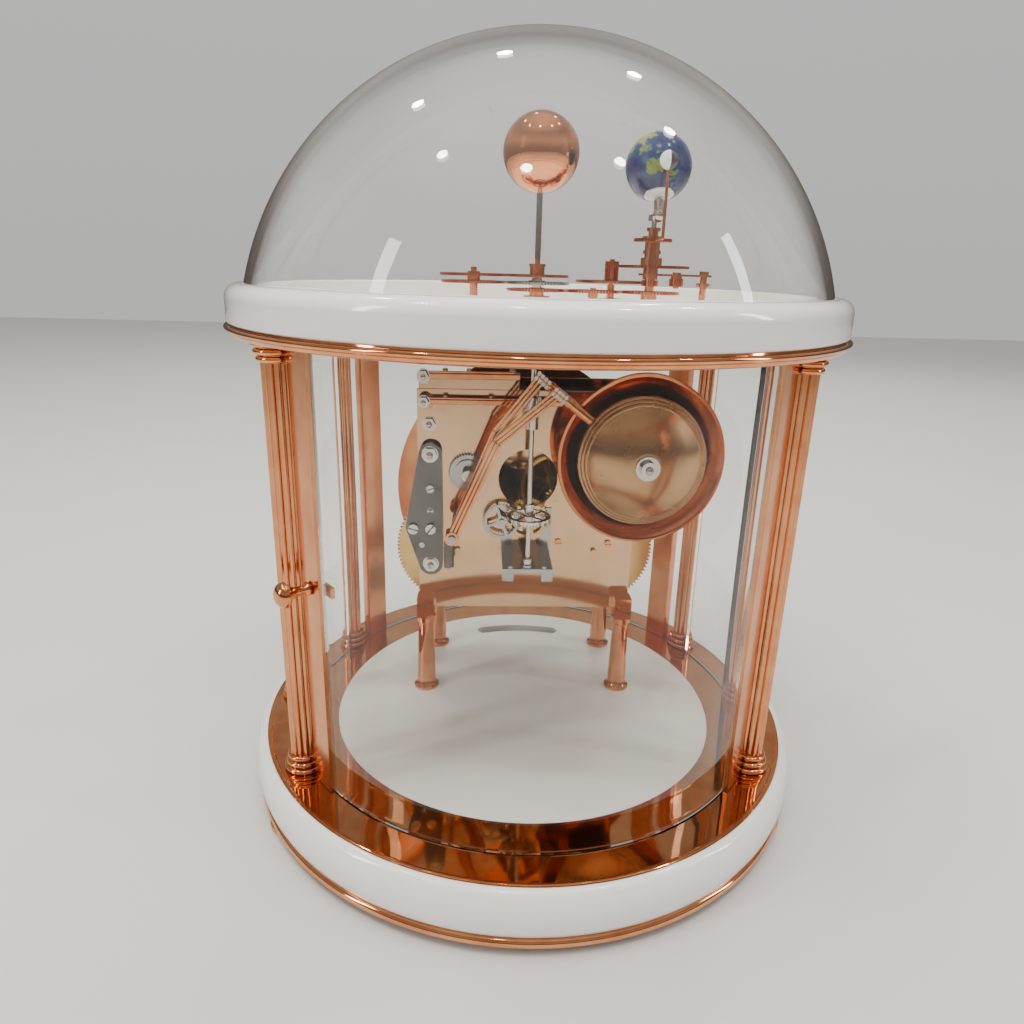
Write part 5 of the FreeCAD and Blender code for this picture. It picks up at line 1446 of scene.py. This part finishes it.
@dataclass
class Orrery:
    """Sun, earth and moon with their wheels."""

    earth_face: float = 120.0
    scale_radius: float = 108.0
    rod: float = 1.4
    wheels: tuple[str, ...] = ("year_arm", "arm_link", "sun_compound", "day_wheel", "idler_wheel",
                               "earth_drive", "moon_reducer", "moon_carriage", "keeper_idler", "sun_spindle")

    def build(self) -> None:
        """Dress the wheels and make the three balls."""
        for node in self.wheels:
            dress(node, WHEEL_ROSE)
        for node in ("tilt_bracket", "sun_post"):
            dress(node, NICKEL)
        self.scale()
        self.sun()
        self.earth()
        self.moon()

    def scale(self) -> None:
        """Printed calendar ring of months and days on the recess floor."""
        top = Span.of("sky_plate").high.z
        shell = Shell()
        for radius in (self.scale_radius, self.scale_radius + 7.0):
            out = radius + 0.35
            shell.lathe([(radius, top), (out, top), (out, top + 0.06), (radius, top + 0.06)], steps=192)
        for k in range(180):
            long = 7.0 if k % 15 == 0 else 3.4 if k % 5 == 0 else 1.8
            turn = Matrix.Rotation(TURN * k / 180, 4, "Z")
            shell.block((long, 0.3, 0.06), turn @ shift(self.scale_radius + long / 2, 0, top + 0.03))
        shell.piece("calendar ring", "root", "steel", DIAL_INK_AND_HOLE_SHADE)

    def sun(self) -> None:
        """Buffed copper ball on a steel sleeve."""
        span = Span.of("sun_ball")
        Shell().ball(span.middle, span.size.x / 2, 96).piece("copper sun", "sun", "rose_gold", COPPER_SUN,
                                                             ["sun_ball"])
        x, y = span.middle.xy
        hub = Span.of("sun_compound").high.z + 6.5
        shell = Shell().rod((x, y, hub), (x, y, span.low.z + 0.4), self.rod, 32)
        shell.piece("sun rod sleeve", "sun", "steel", STEEL)

    def earth(self) -> None:
        """Enamelled globe with its pole pin."""
        span = Span.of("earth_globe")
        centre = joint_place("globe_spin")
        pole = joint_axis("globe_spin")
        radius = span.size.x / 2
        finish = EarthEnamel("earth enamel", centre * MM, pole, self.earth_face)
        Shell().ball(centre, radius, 96).piece("earth ball", "globe", "globe", finish, ["earth_globe"])
        shell = Shell().rod(centre - pole * (radius + 7), centre - pole * (radius - 1), 0.9, 20)
        shell.rod(centre + pole * (radius - 0.5), centre + pole * (radius + 2.6), 1.3, 24, 0.4)
        shell.piece("pole pins", "globe", "globe", NICKEL)

    def moon(self) -> None:
        """Ball with a white and a black half."""
        span = Span.of("moon_ball")
        finish = MoonEnamel("moon enamel", span.middle * MM, Vector((-1, 0, 0)))
        Shell().ball(span.middle, span.size.x / 2, 64).piece("moon ball two-tone", "moon", "moon_two_tone",
                                                             finish, ["moon_ball"])


# ---- studio --------------------------------------------------------------------------------------
PALE_ROOM = ((0.0, (0.62, 0.61, 0.60)), (1.0, (0.80, 0.80, 0.80)))
DIM_HALL = ((0.0, (0.10, 0.08, 0.07)), (0.16, (0.17, 0.15, 0.135)), (0.42, (0.50, 0.46, 0.42)),
            (0.72, (0.27, 0.25, 0.235)), (1.0, (0.95, 0.92, 0.88)))


@dataclass
class Studio:
    """Pale floor, soft lights and the camera."""

    lens: float = 25.97
    camera_place: tuple[float, float, float] = (-24.40, -367.38, 262.69)
    heading: float = 0.04212
    pitch: float = 0.3208
    roll: float = 0.0267
    floor_size: float = 6.0

    def build(self) -> None:
        """Make the studio."""
        self.floor()
        self.lights()
        self.camera()

    def floor(self) -> None:
        """Wide pale floor."""
        half = self.floor_size / 2
        data = bpy.data.meshes.new("studio floor")
        data.from_pydata([(-half, -half, 0), (half, -half, 0), (half, half, 0), (-half, half, 0)], [],
                         [(0, 1, 2, 3)])
        floor = bpy.data.objects.new("studio floor", data)
        bpy.context.scene.collection.objects.link(floor)
        paint = Paint("pale floor")
        cloud = paint.noise(paint.places(), 0.004, 2.0)
        paint.feed("Base Color", paint.blend(cloud, (0.62, 0.61, 0.59), (0.58, 0.57, 0.55)))
        paint.feed("Roughness", 0.55)
        data.materials.append(paint.material)

    def lights(self) -> None:
        """Broad soft boxes, small ceiling lamps for sparkle, and the room."""
        for name, place, size, power, tint in (
                ("overhead box", (-0.2, -0.3, 1.5), (1.3, 0.9), 24.0, (1.0, 0.96, 0.9)),
                ("left box", (-1.5, -0.8, 0.9), (0.16, 0.9), 9.0, (1.0, 0.97, 0.93)),
                ("right box", (1.5, -0.4, 0.8), (0.12, 0.8), 6.0, (0.95, 0.97, 1.0)),
                ("far box", (0.5, 1.7, 1.2), (1.2, 0.6), 12.0, (1.0, 0.95, 0.88))):
            light = self._lamp(name, place, size, power, tint)
            light.visible_glossy = name in ("left box", "right box")
            light.visible_transmission = False
        for k in range(7):
            a = math.radians(-150 + 50 * k)
            place = (1.1 * math.cos(a), 0.2 + 1.0 * math.sin(a), 2.1)
            self._lamp(f"ceiling lamp {k + 1}", place, (0.11, 0.11), 4.0, (1.0, 0.93, 0.82))
        self._room()

    @staticmethod
    def _lamp(name: str, place: tuple[float, float, float], size: Point2, power: float,
              tint: Colour) -> bpy.types.Object:
        """Area lamp that looks at the clock."""
        data = bpy.data.lights.new(name, "AREA")
        data.shape = "RECTANGLE" if size[0] != size[1] else "ELLIPSE"
        data.size, data.size_y = size
        data.energy = power
        data.color = tint
        light = bpy.data.objects.new(name, data)
        light.location = place
        light.rotation_mode = "QUATERNION"
        light.rotation_quaternion = (Vector((0, 0, 0.18)) - Vector(place)).to_track_quat("-Z", "Y")
        bpy.context.scene.collection.objects.link(light)
        return light

    @staticmethod
    def _room() -> None:
        """Even pale room, which polished surfaces see as a dim hall with a bright ceiling."""
        world = bpy.data.worlds.new("studio room")
        bpy.context.scene.world = world
        world.use_nodes = True
        room = Tree(world.node_tree)
        around = room.node("ShaderNodeTexCoord", output="Generated")
        height = room.node("ShaderNodeSeparateXYZ", inputs={0: around}, output="Z")
        mirrored = room.node("ShaderNodeLightPath", output="Glossy Depth")
        colour = room.blend(mirrored, room.ramp(height, PALE_ROOM), room.ramp(height, DIM_HALL))
        back = room.node("ShaderNodeBackground", inputs={"Color": colour, "Strength": 0.95})
        room.add("ShaderNodeOutputWorld", inputs={"Surface": back})

    def camera(self) -> None:
        """Camera a little above the crown, looking down at the rear door."""
        h, p, r = self.heading, self.pitch, self.roll
        ahead = Vector((math.sin(h) * math.cos(p), math.cos(h) * math.cos(p), -math.sin(p)))
        right = Vector((math.cos(h), -math.sin(h), 0.0))
        up = right.cross(ahead)
        x = math.cos(r) * right + math.sin(r) * up
        y = -math.sin(r) * right + math.cos(r) * up
        turn = Matrix((x, y, -ahead)).transposed().to_4x4()
        data = bpy.data.cameras.new("camera")
        data.lens = self.lens
        data.sensor_width = 36.0
        data.clip_start, data.clip_end = 0.01, 20.0
        camera = bpy.data.objects.new("camera", data)
        camera.matrix_world = Matrix.Translation(Vector(self.camera_place) * MM) @ turn
        bpy.context.scene.collection.objects.link(camera)
        bpy.context.scene.camera = camera


def main() -> None:
    """Build every sub-assembly, then the studio."""
    logging.basicConfig(level=logging.INFO, format="%(name)s: %(message)s")
    for assembly in (Base(), Columns(), Crown(), Dome(), Glazing(), Movement(), Strike(), Drive(), DialWork(),
                     Orrery(), Studio()):
        assembly.build()


if __name__ == "__main__":
    main()
